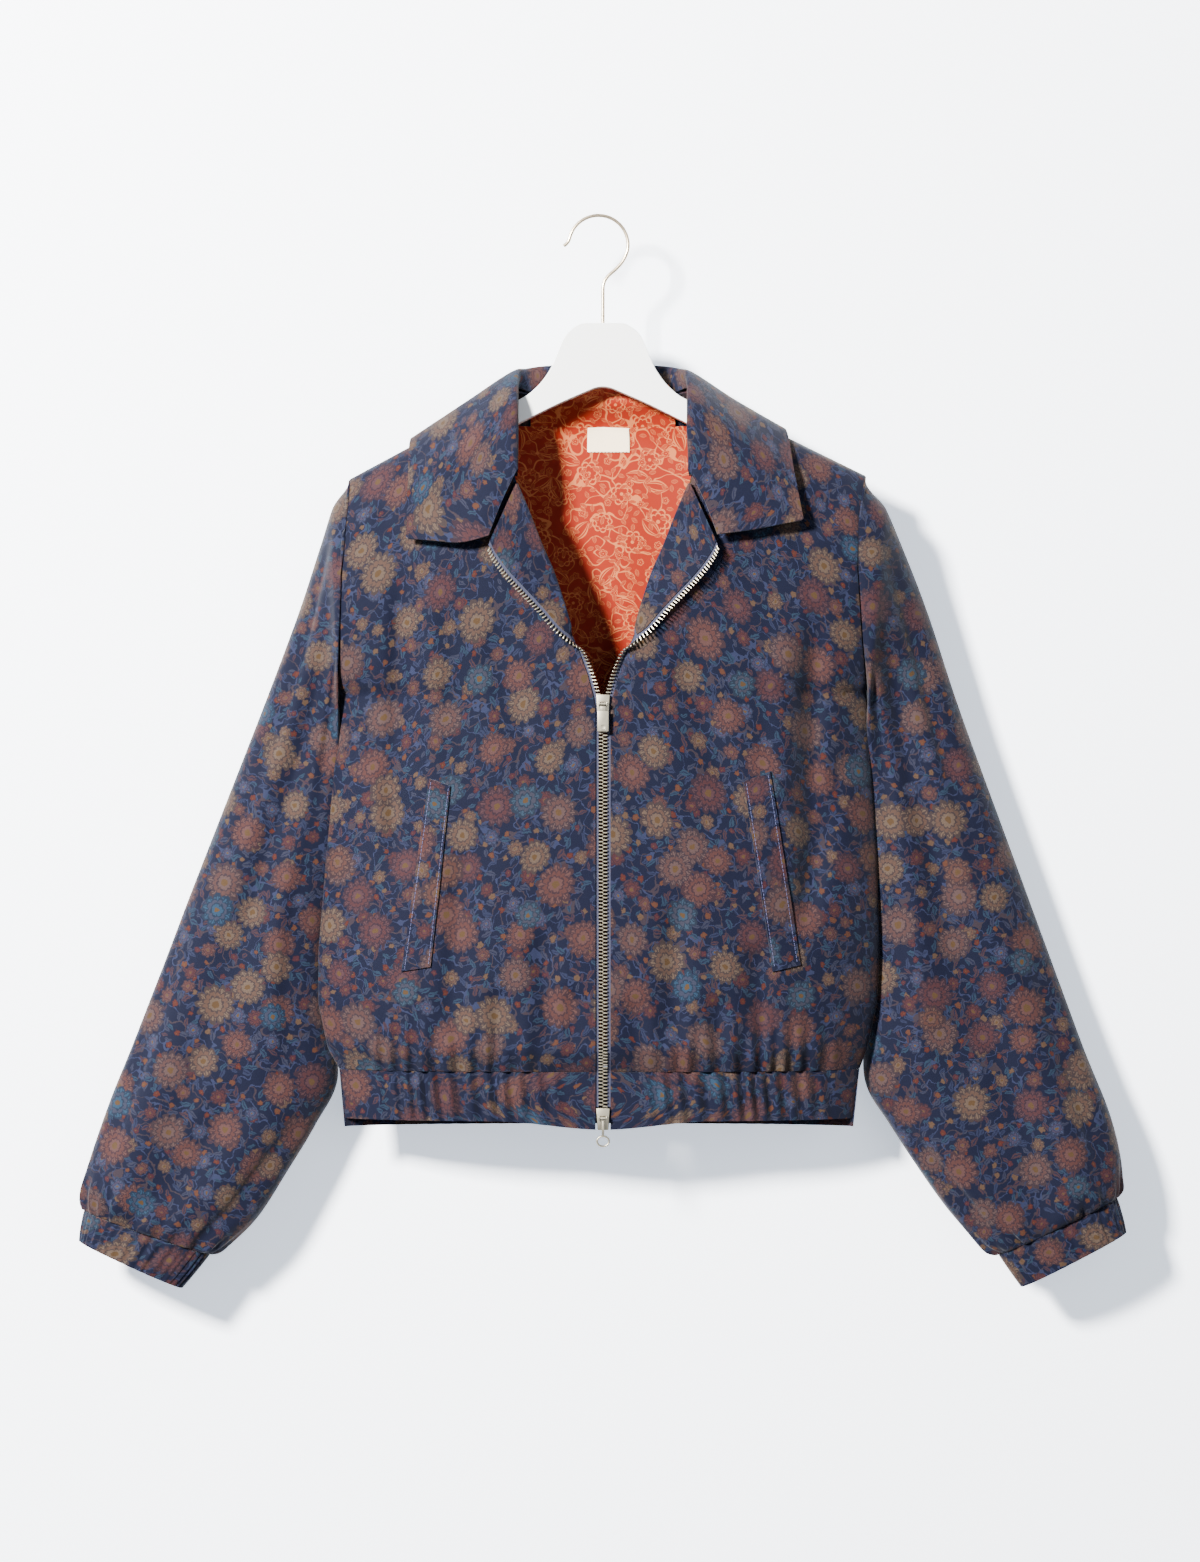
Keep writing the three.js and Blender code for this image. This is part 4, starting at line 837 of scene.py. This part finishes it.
# %% Sleeves
ARMHOLE_GAP = 0.8
SLEEVE_ROWS = {
    "left": [
        # outer edge x and z, inner edge x and z, middle y, front and back half thickness
        (221, -218.2, 222, -400, 0, 26, 22),
        (236, -240, 222, -417, 2, 28, 24),
        (253, -277, 221, -449, 12, 28, 24),
        (276, -334, 219, -491, 20, 27, 24),
        (301, -408, 220, -550, 22, 28, 25),
        (331, -491, 226, -613, 23, 29, 26),
        (361, -575, 223, -676, 23, 30, 27),
        (386, -642, 222, -728, 22, 30, 28),
        (408, -703, 243, -766, 18, 31, 29),
        (427, -751, 268, -804, 14, 32, 30),
        (436.5, -790, 297, -844, 10, 30, 28),
        (437.5, -815, 320, -867, 7, 25, 23),
        (433, -827, 334, -874, 6, 19, 18),
    ],
    "right": [
        (213, -221.2, 222.5, -400, 0, 26, 22),
        (226, -240, 222, -417, 2, 28, 24),
        (239, -277, 221, -449, 12, 28, 24),
        (258, -333, 219, -491, 20, 27, 24),
        (286, -407, 221, -550, 22, 28, 25),
        (319, -491, 232, -613, 23, 29, 26),
        (352, -575, 231, -676, 23, 30, 27),
        (377, -642, 225, -728, 22, 30, 28),
        (399, -701, 243, -766, 18, 31, 29),
        (418, -747, 266, -804, 14, 32, 30),
        (433, -790, 292, -844, 10, 30, 28),
        (437.5, -817, 320, -868, 7, 25, 23),
        (437, -837, 332, -874, 6, 19, 18),
    ],
}
SLEEVE_STRENGTH = 1.9
SLEEVE_FOLDS = [
    # place round the sleeve, change of place on the way down, top, bottom, half width, depth
    (0.13, 0.02, 0.02, 0.5, 0.03, 4.0),
    (0.24, -0.02, 0.08, 0.62, 0.034, 4.5),
    (0.34, -0.04, 0.02, 0.36, 0.03, 4.0),
    (0.19, 0.05, 0.45, 0.95, 0.03, 3.5),
    (0.3, -0.05, 0.55, 0.98, 0.034, 4.0),
    (0.08, 0.04, 0.5, 0.9, 0.03, 3.0),
    (0.42, -0.05, 0.62, 0.98, 0.03, 3.5),
    (0.27, 0.03, 0.3, 0.75, 0.026, -2.6),
    (0.62, 0.03, 0.05, 0.6, 0.036, 4.0),
    (0.76, -0.03, 0.2, 0.8, 0.04, 4.0),
    (0.9, 0.02, 0.1, 0.6, 0.034, 3.0),
    (0.7, 0.04, 0.6, 0.96, 0.036, 3.5),
]


def ring(row, angle, power):
    """A point of a flattened ring. Angle 0 is the outer edge, and the front comes first."""
    c, s = np.cos(angle), np.sin(angle)
    along = np.sign(c) * np.abs(c) ** (2 / power)
    deep = np.sign(s) * np.abs(s) ** (2 / power)
    out_x, out_z, in_x, in_z, y, front_half, back_half = np.moveaxis(row, -1, 0)
    return np.stack(
        [
            (out_x + in_x) / 2 + along * (out_x - in_x) / 2,
            y - deep * np.where(deep > 0, front_half, back_half),
            (out_z + in_z) / 2 + along * (out_z - in_z) / 2,
        ],
        axis=-1,
    )


def sleeve_relief(u, v, side):
    total = np.zeros_like(u)
    for around, drift, top, bottom, width, depth in SLEEVE_FOLDS:
        share = np.clip((v - top) / (bottom - top), 0, 1)
        lean = 0.012 if side == "left" else -0.01
        away = ((u - around - lean - drift * share + 0.5) % 1 - 0.5) / width
        total -= SLEEVE_STRENGTH * depth * np.exp(-away * away) * np.sin(math.pi * share) ** 1.3
    swell = slow_noise(np.cos(2 * math.pi * u) * 70, v * 620, 21 if side == "left" else 24, size=80, high=1.1)
    drawn = ease((v - 0.8) / 0.2) ** 1.3
    dice = np.random.default_rng(5 if side == "left" else 6)
    waves = np.zeros_like(u)
    for count, size in ((13, 1.0), (19, 0.8), (26, 0.5)):
        waves += size * np.sin(2 * math.pi * count * u + dice.uniform(0, 6.28) + 2.4 * v)
    return total + swell * ease(v * 6) * ease((1 - v) * 8) + drawn * (2.2 * waves + 1.5) * ease((1.06 - v) * 9)


def sleeve_form(side, sign):
    def form(u, v):
        row = along_rows(SLEEVE_ROWS[side], v)
        angle = 2 * math.pi * u
        plain_ring = ring(row, angle, 2 + 0.4 * np.clip(v * 8, 0, 1))
        drop = (plain_ring[..., 2] - row[..., 1]) / (row[..., 3] - row[..., 1])
        straight = mix(row[..., 0], row[..., 2], drop)
        bow = (edge_at(np.full_like(u, sign), plain_ring[..., 2]) + ARMHOLE_GAP - straight) * ease(1 - v / 0.1)
        middle = (ring(row, np.zeros_like(u), 2.0) + ring(row, np.full_like(u, math.pi), 2.0)) / 2
        away = plain_ring - middle
        away /= np.linalg.norm(away, axis=-1, keepdims=True)
        point = plain_ring + away * (sleeve_relief(u, v, side) * ease(v * 6))[..., None]
        point[..., 0] = sign * (point[..., 0] + bow)
        return point

    return form


for side, sign in SIDES.items():
    sleeve = cloth_grid(
        f"sleeve_{side}", sleeve_form(side, sign), spaced(150, -0.5, 0.5), spaced(190), shift=(0.5 * sign, 1.3),
        closed=True, outside=sign, arm=(0.42 * sign, -1),
    )
    finish_cloth(sleeve, shell_cloth, [f"sleeve_{side}"])

# %% [markdown]
# Elastic inside each cuff draws a strip of the same cloth into fine, uneven ribs. They are deeper in the middle of
# the cuff than at its seams.

# %% Cuffs
CUFF_ROWS = {
    "left": [(433.5, -827.6, 334.3, -874.6, 6, 18, 17), (441, -856, 353, -901.5, 4, 17, 16)],
    "right": [(437.2, -837.6, 332.2, -874.7, 6, 18, 17), (441.5, -863, 355, -902.5, 4, 17, 16)],
}


def cuff_form(side, sign):
    rows = np.array(CUFF_ROWS[side], float)

    def form(u, v):
        row = mix(rows[0], rows[1], v[..., None])
        point = ring(row, 2 * math.pi * u, 2.4)
        middle = (ring(row, np.zeros_like(u), 2.0) + ring(row, np.full_like(u, math.pi), 2.0)) / 2
        away = point - middle
        away /= np.linalg.norm(away, axis=-1, keepdims=True)
        phase = 2 * math.pi * 40 * u + 1.1 * np.sin(2 * math.pi * 5 * u) + 0.7 * np.sin(2 * math.pi * 11 * u + 1)
        high = 1.9 * (0.7 + 0.3 * np.sin(2 * math.pi * 7 * u + 2)) * (0.65 + 0.35 * np.sin(math.pi * v))
        point = point + away * (high * (0.5 + 0.5 * np.sin(phase + 1.2 * v)) - 0.2)[..., None]
        point[..., 0] *= sign
        return point

    return form


for side, sign in SIDES.items():
    cuff = cloth_grid(
        f"cuff_{side}", cuff_form(side, sign), spaced(320), spaced(14), shift=(0.4 * sign, 2.1), closed=True,
        outside=sign, turn=-0.45 * sign,
    )
    finish_cloth(cuff, shell_cloth, [f"cuff_{side}"])

# %% [markdown]
# The waistband holds a wide elastic too, so it puckers all round except for a flat stretch on each side of the zip.
# It is cut as two fronts and a back. Its lower edge dips a little at the middle of the front and all along the
# back.

# %% Waistband


def hem_z(face, x):
    return HEM_Z - HEM_DIP * (1 if face == "back" else 1 - ease(np.abs(x) / 90))


def band_relief(face, x, z):
    plain_part = ease((np.abs(x) - 22) / 30) if face == "front" else 1
    side = ease((204 - np.abs(x)) / 14)
    middle = 0.55 + 0.45 * np.sin(math.pi * np.clip((WAIST_Z - z) / 42, 0, 1))
    folds = gathers(x + 0.12 * (z - WAIST_Z), 13.5, 5.6, 3 if face == "front" else 8)
    return folds * plain_part * side * middle


def band_form(face):
    def form(u, v):
        half = edge_at(u, mix(WAIST_Z, HEM_Z, v))
        inner = OPEN_X[-1] if face == "front" else 0
        x = np.sign(u) * mix(inner, half, np.abs(u))
        return on_body(face, x, mix(WAIST_Z - 0.4, hem_z(face, x), v), band_relief)

    return form


band_half = towards_side(150)
for side, sign in SIDES.items():
    shares = sign * np.maximum(band_half, 1e-6)
    band = cloth_grid(
        f"band_front_{side}", band_form("front"), shares, spaced(16), shift=(0.2 * sign, 2.6), outside=-sign
    )
    finish_cloth(band, shell_cloth, [f"band_front_{side}"])
both_band = np.concatenate([-band_half[:0:-1], band_half])
band = cloth_grid("band_back", band_form("back"), both_band, spaced(16), shift=(0.0, 2.8))
finish_cloth(band, shell_cloth, ["band_back"])

# %% [markdown]
# Inside the back neck lie an orange strip and the lining under it. Both follow the back a few millimetres further in,
# and the lining falls freely below. The label sits on them, sewn along its four sides, and is left blank.

# %% Neck strip, lining and label
LAYER_OUT, LINING, FOLD_ROOM = 3.8, 1.2, 5


def unfolded(face, x, z):
    return np.zeros_like(x)


def on_lining(x, z, fall=FOLD_ROOM):
    point = on_body("back", x, z, unfolded)
    point[..., 1] -= fall * ease((-172.5 - z) / 100)
    return point


def strip_form(u, v):
    z = mix(-141, -172.5, v)
    base = np.minimum(z, -153.5)
    point = on_lining(mix(-62, 62, u), base, 0)
    point[..., 1] += 0.25 * (z - base)
    point[..., 2] = z
    return point


def lining_form(u, v):
    top = np.minimum(-172.9, shoulder_z(u * 135) - 20)
    x, z = u * mix(135, 160, ease(v * 2.5)), mix(top, -700, v)
    point = on_lining(x, z)
    point[..., 1] += 1.3 * slow_noise(x, z, 41, size=90) * ease(v * 5)
    return point


def label_form(u, v):
    return on_lining(mix(-13.4, 22.7, u), mix(-173.5, -195.5, v))


strip = cloth_grid("neck_strip", strip_form, spaced(60), spaced(12), shift=(0.2, 0.6), cloth=LINING, inset=LAYER_OUT)
finish_cloth(strip, lining_cloth, ["neck_facing"])
lining = cloth_grid("lining", lining_form, spaced(80, -1), spaced(90), cloth=LINING, inset=LAYER_OUT)
finish_cloth(lining, lining_cloth, ["lining_back"])
label = cloth_grid("label", label_form, spaced(24), spaced(16), cloth=0.6, inset=LAYER_OUT + LINING + 0.5)
finish_cloth(label, ribbon, ["label"])

# %% [markdown]
# Each pocket is a slanted slit under a narrow welt, a folded strip that is sewn down along its edges. It shows mostly
# by its thickness and by the shade along its inner edge.

# %% Pocket welts
WELT_CLOTH, WELT_LIFT = 1.4, 0.3
WELTS = {
    "left": ((117.1, -475.4), (139.4, -467), (141.5, -634), (164.6, -628.7)),
    "right": ((127, -479), (144.8, -473), (143.5, -630), (168, -634)),
}


def welt_form(side, sign):
    inner_top, outer_top, inner_end, outer_end = WELTS[side]

    def form(u, v):
        x, z = (mix(mix(inner_top[i], outer_top[i], u), mix(inner_end[i], outer_end[i], u), v) for i in (0, 1))
        return on_body("front", sign * x, z)

    return form


for side, sign in SIDES.items():
    welt = cloth_grid(
        f"welt_{side}", welt_form(side, sign), spaced(16), spaced(70), shift=(0.9 * sign, 3.1), cloth=WELT_CLOTH,
        outside=-sign, inset=-WELT_LIFT - WELT_CLOTH,
    )
    finish_cloth(welt, shell_cloth, [f"welt_{side}"])

# %% [markdown]
# The zip runs up the free edge of each front and turns over with the lapel. Its path is a list of frames: a point
# on the edge, the way out past the edge, and the way through the cloth. One tooth is modelled and then set on every
# frame, and the two sides are half a pitch apart so that they mesh where the zip is closed.

# %% Zip tapes and teeth
ZIP_BOTTOM, ZIP_TOP, TOOTH_PITCH, HALF_CLOTH = -747, -366, 3.0, 0.8
ZIP_STEPS, ZIP_PASSES = 700, 14


def unit(rows):
    return rows / np.linalg.norm(rows, axis=1, keepdims=True)


def neighbours(rows):
    """Each row averaged with the two on either side of it."""
    padded = np.concatenate([rows[:2][::-1], rows, rows[-2:][::-1]])
    return sum(padded[i : i + len(rows)] for i in range(5)) / 5


def zip_frames(sign):
    z = np.linspace(ZIP_BOTTOM, ZIP_TOP, 500)
    point = on_body("front", sign * at_height(z, OPEN_Z, OPEN_X), z)
    tilt = np.radians(at_height(z, [ZIP_TOP, -386, -405], [48, 22, 0]))
    level = np.zeros_like(z)
    out = np.stack([-sign * np.cos(tilt), -np.sin(tilt), level], axis=-1)
    through = np.stack([-sign * np.sin(tilt), np.cos(tilt), level], axis=-1)
    form = lapel_form(sign)
    v = np.linspace(0.04, 0.985, 200)
    edge, near = form(np.ones_like(v), v), form(np.full_like(v, 0.9), v)
    ahead = np.gradient(edge, axis=0)
    turned_out = edge - near
    turned = -sign * np.cross(turned_out, ahead)
    joined = [np.concatenate(pair) for pair in ((point, edge), (out, turned_out), (through, turned))]
    point, out, through = joined
    run = np.concatenate([[0], np.cumsum(np.linalg.norm(np.diff(point, axis=0), axis=1))])
    even = np.linspace(0, run[-1], ZIP_STEPS)
    point, out, through = (
        np.stack([np.interp(even, run, rows[:, i]) for i in range(3)], axis=-1)
        for rows in (point, unit(out), unit(through))
    )
    turning = ease((point[:, 2] + 400) / 12) * ease((-338 - point[:, 2]) / 12)
    for _ in range(ZIP_PASSES):
        point = mix(point, neighbours(point), turning[:, None])
        out, through = unit(neighbours(out)), unit(neighbours(through))
    run = np.concatenate([[0], np.cumsum(np.linalg.norm(np.diff(point, axis=0), axis=1))])
    return run, point + HALF_CLOTH * through, out, through


def frames_at(frames, places):
    run, *vectors = frames
    return [np.stack([np.interp(places, run, v[:, i]) for i in range(3)], axis=-1) for v in vectors]


def one_tooth():
    """A small rounded tooth whose X runs past the edge and whose Y runs through the cloth."""
    bpy.ops.mesh.primitive_cube_add(size=1, location=(4.5 * MM, 0, 0), scale=(4.2 * MM, 2.6 * MM, 1.4 * MM))
    tooth = bpy.context.object
    select_only(tooth)
    bpy.ops.object.transform_apply(location=True, rotation=True, scale=True)
    bevel = tooth.modifiers.new("round", "BEVEL")
    bevel.width = 0.35 * MM
    bevel.segments = 1
    bpy.ops.object.modifier_apply(modifier="round")
    return tooth


def joined(name, parts):
    """Several parts as one piece whose origin is the world's."""
    bpy.ops.object.select_all(action="DESELECT")
    for part in parts:
        part.select_set(True)
    bpy.context.view_layer.objects.active = parts[0]
    if len(parts) > 1:
        bpy.ops.object.join()
    piece = bpy.context.object
    piece.name = piece.data.name = f"{name}_piece"
    bpy.ops.object.transform_apply(location=True, rotation=True, scale=True)
    bpy.ops.object.shade_smooth_by_angle(angle=math.radians(40))
    return piece


def finish_part(piece, material, nodes, body=JACKET):
    piece.data.materials.clear()
    piece.data.materials.append(material)
    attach(piece, body)
    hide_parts(*nodes)
    print(f"{piece.name}: {len(piece.data.polygons)} faces")


for side, sign in SIDES.items():
    frames = zip_frames(sign)

    def tape_form(u, v, frames=frames):
        point, out, through = frames_at(frames, v.ravel() * frames[0][-1])
        return (point + mix(-9, 2.6, u.ravel())[:, None] * out + HALF_CLOTH * through).reshape(*u.shape, 3)

    tape = cloth_grid(f"zip_tape_{side}", tape_form, spaced(6), spaced(160), cloth=0.7, outside=-sign)
    finish_cloth(tape, tape_cloth, [f"zip_tape_{side}"])
    tooth = one_tooth()
    start = 0.6 if side == "left" else 0.6 + TOOTH_PITCH / 2
    places = np.arange(start, frames[0][-1] - 0.5, TOOTH_PITCH)
    teeth = []
    for point, out, through in zip(*frames_at(frames, places)):
        x = Vector(out).normalized()
        z = x.cross(Vector(through)).normalized()
        y = z.cross(x)
        copy = tooth.copy()
        copy.data = tooth.data.copy()
        copy.matrix_world = Matrix((x, y, z)).transposed().to_4x4()
        copy.matrix_world.translation = Vector(point) * MM
        bpy.context.collection.objects.link(copy)
        teeth.append(copy)
    bpy.data.objects.remove(tooth)
    finish_part(joined(f"zip_teeth_{side}", teeth), nickel, [f"zip_row_{side}"])

# %% [markdown]
# A slider is two shield-shaped plates with a post between them at the mouth, and two lugs in front that carry a
# short bar. A pull tab swings on that bar. The top tab is a broad plate with a square recess. The bottom one is a
# plain ring.

# %% Helpers for small metal parts


def plate(x_half, y, z, bevel, narrow=1.0):
    """A box between two depths and two heights. Its lower end can be narrower than its upper end."""
    place = (0, (y[0] + y[1]) / 2 * MM, (z[0] + z[1]) / 2 * MM)
    size = (2 * x_half * MM, (y[1] - y[0]) * MM, (z[1] - z[0]) * MM)
    bpy.ops.mesh.primitive_cube_add(size=1, location=place, scale=size)
    piece = bpy.context.object
    select_only(piece)
    bpy.ops.object.transform_apply(location=True, rotation=True, scale=True)
    for vertex in piece.data.vertices:
        if vertex.co.z < place[2]:
            vertex.co.x *= narrow
    cut = piece.modifiers.new("bevel", "BEVEL")
    cut.width = bevel * MM
    cut.segments = 3
    bpy.ops.object.modifier_apply(modifier="bevel")
    return piece


def rod(x_half, y, z, radius):
    """A round bar along X."""
    bpy.ops.mesh.primitive_cylinder_add(
        vertices=24, radius=radius * MM, depth=2 * x_half * MM, location=(0, y * MM, z * MM),
        rotation=(0, math.pi / 2, 0),
    )
    piece = bpy.context.object
    select_only(piece)
    bpy.ops.object.transform_apply(location=True, rotation=True, scale=True)
    return piece


def take_away(piece, tool):
    cut = piece.modifiers.new("hole", "BOOLEAN")
    cut.operation = "DIFFERENCE"
    cut.object = tool
    select_only(piece)
    bpy.ops.object.modifier_apply(modifier="hole")
    bpy.data.objects.remove(tool)
    return piece


def wire(name, points, radius, closed=False, fine=5):
    """A round wire along a list of points, in millimetres."""
    bpy.ops.curve.primitive_nurbs_path_add()
    line = bpy.context.object
    line.data.splines.clear()
    spline = line.data.splines.new("POLY")
    spline.points.add(len(points) - 1)
    for spot, (x, y, z) in zip(spline.points, points):
        spot.co = (x * MM, y * MM, z * MM, 1)
    spline.use_cyclic_u = closed
    line.data.dimensions = "3D"
    line.data.bevel_depth = radius * MM
    line.data.bevel_resolution = fine
    line.data.use_fill_caps = True
    select_only(line)
    bpy.ops.object.convert(target="MESH")
    piece = bpy.context.object
    piece.name = piece.data.name = name
    return piece


def slider(name, bar, z, post_high, nodes):
    """Two plates round the zip, a post at the mouth, and two lugs in front with a bar between them."""
    y, middle = bar[0], bar[0] + 6.2
    parts = [
        plate(5.7, (middle - 3.3, middle - 1.9), z, 0.5, narrow=0.8),
        plate(5.7, (middle + 1.9, middle + 3.3), z, 0.5, narrow=0.8),
        plate(1.2, (middle - 2.5, middle + 2.5), (z[1] - post_high, z[1] - 0.4), 0.3),
        rod(3.4, y, bar[1], 0.8),
    ]
    for sign in (-1, 1):
        lug = plate(0.55, (y - 1.8, middle - 2.6), (bar[1] - 1.8, bar[1] + 1.8), 0.45)
        lug.location.x = 3.15 * sign * MM
        parts.append(lug)
    finish_part(joined(name, parts), nickel, nodes)


print("small part helpers ready")

# %% Sliders and pull tabs
TOP_BAR, LOW_BAR = (-49.414, -411), (-41.498, -756)
slider("slider_top", TOP_BAR, (-424, -403), 4.5, ["slider_top"])
slider("slider_bottom", LOW_BAR, (-766, -747.8), 4.0, ["slider_bottom"])


def eye(bar):
    return take_away(rod(2.3, *bar, 2.0), rod(3.0, *bar, 1.1))


def top_tab():
    y, z = TOP_BAR
    tab = plate(4.7, (y - 0.6, y + 0.6), (z - 23, z - 5.6), 0.3)
    mark = plate(1.7, (y - 1.6, y - 0.3), (-431.7, -428.3), 0.05)
    return [take_away(tab, mark), plate(2.2, (y - 0.55, y + 0.55), (z - 6.2, z - 1.5), 0.2), eye(TOP_BAR)]


finish_part(joined("pull_top", top_tab()), nickel, ["pull_top"], "pull_top")
turns = np.linspace(0, 2 * math.pi, 49)[:-1]
hoop = wire("hoop", [(5.0 * math.cos(t), LOW_BAR[0], -775 + 4.2 * math.sin(t)) for t in turns], 0.8, closed=True)
link = plate(1.0, (LOW_BAR[0] - 0.7, LOW_BAR[0] + 0.7), (-771.3, LOW_BAR[1] - 1.4), 0.2)
finish_part(joined("pull_bottom", [hoop, link, eye(LOW_BAR)]), nickel, ["pull_bottom"], "pull_bottom")

# %% [markdown]
# The hanger is a flat board, cut to a bell shape at the neck, with slim arms and softly rounded edges. The hook is
# one wire that rises from the top of the board, swings to the side and comes over in nearly a full circle.

# %% Hanger and hook
HANGER_X = [0, 17, 20, 26, 32, 36, 40, 45, 53, 63, 76, 136, 196, 203]
HANGER_TOP = [-89.5, -89.5, -90.5, -94, -100, -108.5, -120, -130, -141, -150, -157, -189.5, -222, -229]
HANGER_LOW_X = [0, 38, 77, 136, 196, 203]
HANGER_LOW = [-141, -157.5, -177, -207, -238, -234.5]
BOARD = 13


def board_form(u, v):
    x = 203 * u
    wide = np.abs(x)
    soften = np.array([-4, -2, 0, 2, 4])
    low = np.mean([np.interp(np.abs(wide + s), HANGER_LOW_X, HANGER_LOW) for s in soften * 2], axis=0)
    top = np.mean([np.interp(np.abs(wide + s), HANGER_X, HANGER_TOP) for s in soften * 0.6], axis=0)
    return np.stack([x, np.full_like(x, -BOARD / 2), mix(top, low, v)], axis=-1)


board = cloth_grid("hanger", board_form, spaced(180, -1), spaced(10), cloth=BOARD, outside=-1)
select_only(board)
rounding = board.modifiers.new("rounding", "BEVEL")
rounding.width = 2.2 * MM
rounding.segments = 4
rounding.limit_method = "ANGLE"
rounding.angle_limit = math.radians(50)
bpy.ops.object.modifier_apply(modifier="rounding")
bpy.ops.object.shade_smooth_by_angle(angle=math.radians(45))
finish_part(board, white_paint, ["hanger"])

HOOK_MIDDLE, HOOK_RADIUS = (-3.8, -23.2), 25
stem = [(0, -92), (0, -70), (0, -60), (0.4, -56), (2, -52), (6, -47.6), (11, -43.5), (16, -38), (19.4, -32)]
arc = [
    (HOOK_MIDDLE[0] + HOOK_RADIUS * math.cos(t), HOOK_MIDDLE[1] + HOOK_RADIUS * math.sin(t))
    for t in np.radians(np.linspace(-10, 164, 60))
]
tip = [(-28.6, -19.5), (-30.4, -22.0), (-33.6, -24.4)]
path = np.array(stem + arc + tip, float)
run = np.concatenate([[0], np.cumsum(np.linalg.norm(np.diff(path, axis=0), axis=1))])
places = np.linspace(0, run[-1], 160)
smooth = [np.convolve(np.pad(np.interp(places, run, path[:, i]), 2, "edge"), np.ones(5) / 5, "valid") for i in (0, 1)]
hook = wire("hook", [(x, 0, z) for x, z in zip(*smooth)], 1.5, fine=6)
finish_part(joined("hook", [hook]), warm_wire, ["hook"])

# %% [markdown]
# Sewing is what makes cloth read as a garment. Short raised threads run round the label and along both long sides of
# every pocket welt, each one a tiny rod that lies on the cloth.

# %% Stitches


def stitch_line(name, path, over, long, gap, radius, material):
    """Short threads along a path of points, each lifted by over along the given direction."""
    run = np.concatenate([[0], np.cumsum(np.linalg.norm(np.diff(path, axis=0), axis=1))])
    threads = []
    for place in np.arange(gap, run[-1] - long, long + gap):
        ends = [
            [np.interp(place + step, run, path[:, i]) + over[i] for i in range(3)] for step in (0, long / 2, long)
        ]
        threads.append(wire("stitch", ends, radius, fine=1))
    finish_part(joined(name, threads), material, [])


for side, sign in SIDES.items():
    for where, share in (("inner", 0.09), ("outer", 0.91)):
        v = np.linspace(0.01, 0.99, 90)
        path = welt_form(side, sign)(np.full_like(v, share), v)
        lift = (0, -WELT_LIFT - WELT_CLOTH - 0.05, 0)
        stitch_line(f"stitches_welt_{side}_{where}", path, lift, 2.4, 0.9, 0.22, thread)
t = np.linspace(0, 1, 30)
low_side, high_side = np.full_like(t, 0.05), np.full_like(t, 0.95)
for where, (u, v) in {
    "top": (t, low_side), "foot": (t, high_side), "right": (low_side, t), "left": (high_side, t)
}.items():
    path = label_form(u, v)
    over = (0, -LAYER_OUT - LINING - 1.2, -1.2)
    stitch_line(f"stitches_label_{where}", path, over, 2.0, 1.0, 0.16, pale_thread)

# %% [markdown]
# The jacket hangs in front of a pale wall. The main light is a soft box high on the left, which throws the shadow of
# each sleeve to the right, and a broad weak light from the front keeps the folds readable.

# %% Wall and lights
WALL_Y = 0.064
bpy.ops.mesh.primitive_plane_add(size=14, location=(0, WALL_Y, -0.4), rotation=(math.pi / 2, 0, 0))
wall = bpy.context.object
wall.name = "wall"
wall_paint = plain("wall paint", rgb(247, 250, 255), 0.9, uneven=0.0)
wall_shader = wall_paint.node_tree.nodes["Principled BSDF"]
wall_shader.inputs["Emission Color"].default_value = rgb(226, 238, 255)
wall_shader.inputs["Emission Strength"].default_value = 0.9
# The wall is clear from its far side, so a view from behind shows the jacket.
wall_nodes, wall_links = wall_paint.node_tree.nodes, wall_paint.node_tree.links
wall_side = wall_nodes.new("ShaderNodeNewGeometry")
wall_clear = wall_nodes.new("ShaderNodeBsdfTransparent")
wall_mix = wall_nodes.new("ShaderNodeMixShader")
wall_links.new(wall_side.outputs["Backfacing"], wall_mix.inputs["Fac"])
wall_links.new(wall_shader.outputs["BSDF"], wall_mix.inputs[1])
wall_links.new(wall_clear.outputs["BSDF"], wall_mix.inputs[2])
wall_links.new(wall_mix.outputs["Shader"], wall_nodes["Material Output"].inputs["Surface"])
wall.data.materials.append(wall_paint)


def soft_box(name, place, size, watts, colour):
    bpy.ops.object.light_add(type="AREA", location=place)
    light = bpy.context.object
    light.name = name
    light.data.size = size
    light.data.energy = watts
    light.data.color = colour
    light.rotation_euler = (MIDDLE - Vector(place)).to_track_quat("-Z", "Y").to_euler()
    return light


soft_box("key light", (-1.95, -2.9, 0.95), 0.5, 1080, (1.0, 0.985, 0.965))
soft_box("fill light", (1.3, -3.3, -0.2), 2.6, 50, (0.94, 0.97, 1.0))
world = bpy.data.worlds.new("soft room")
bpy.context.scene.world = world
world.use_nodes = True
world.node_tree.nodes["Background"].inputs["Color"].default_value = rgb(228, 238, 255)
world.node_tree.nodes["Background"].inputs["Strength"].default_value = 0.4
print("lights: 2 and the room")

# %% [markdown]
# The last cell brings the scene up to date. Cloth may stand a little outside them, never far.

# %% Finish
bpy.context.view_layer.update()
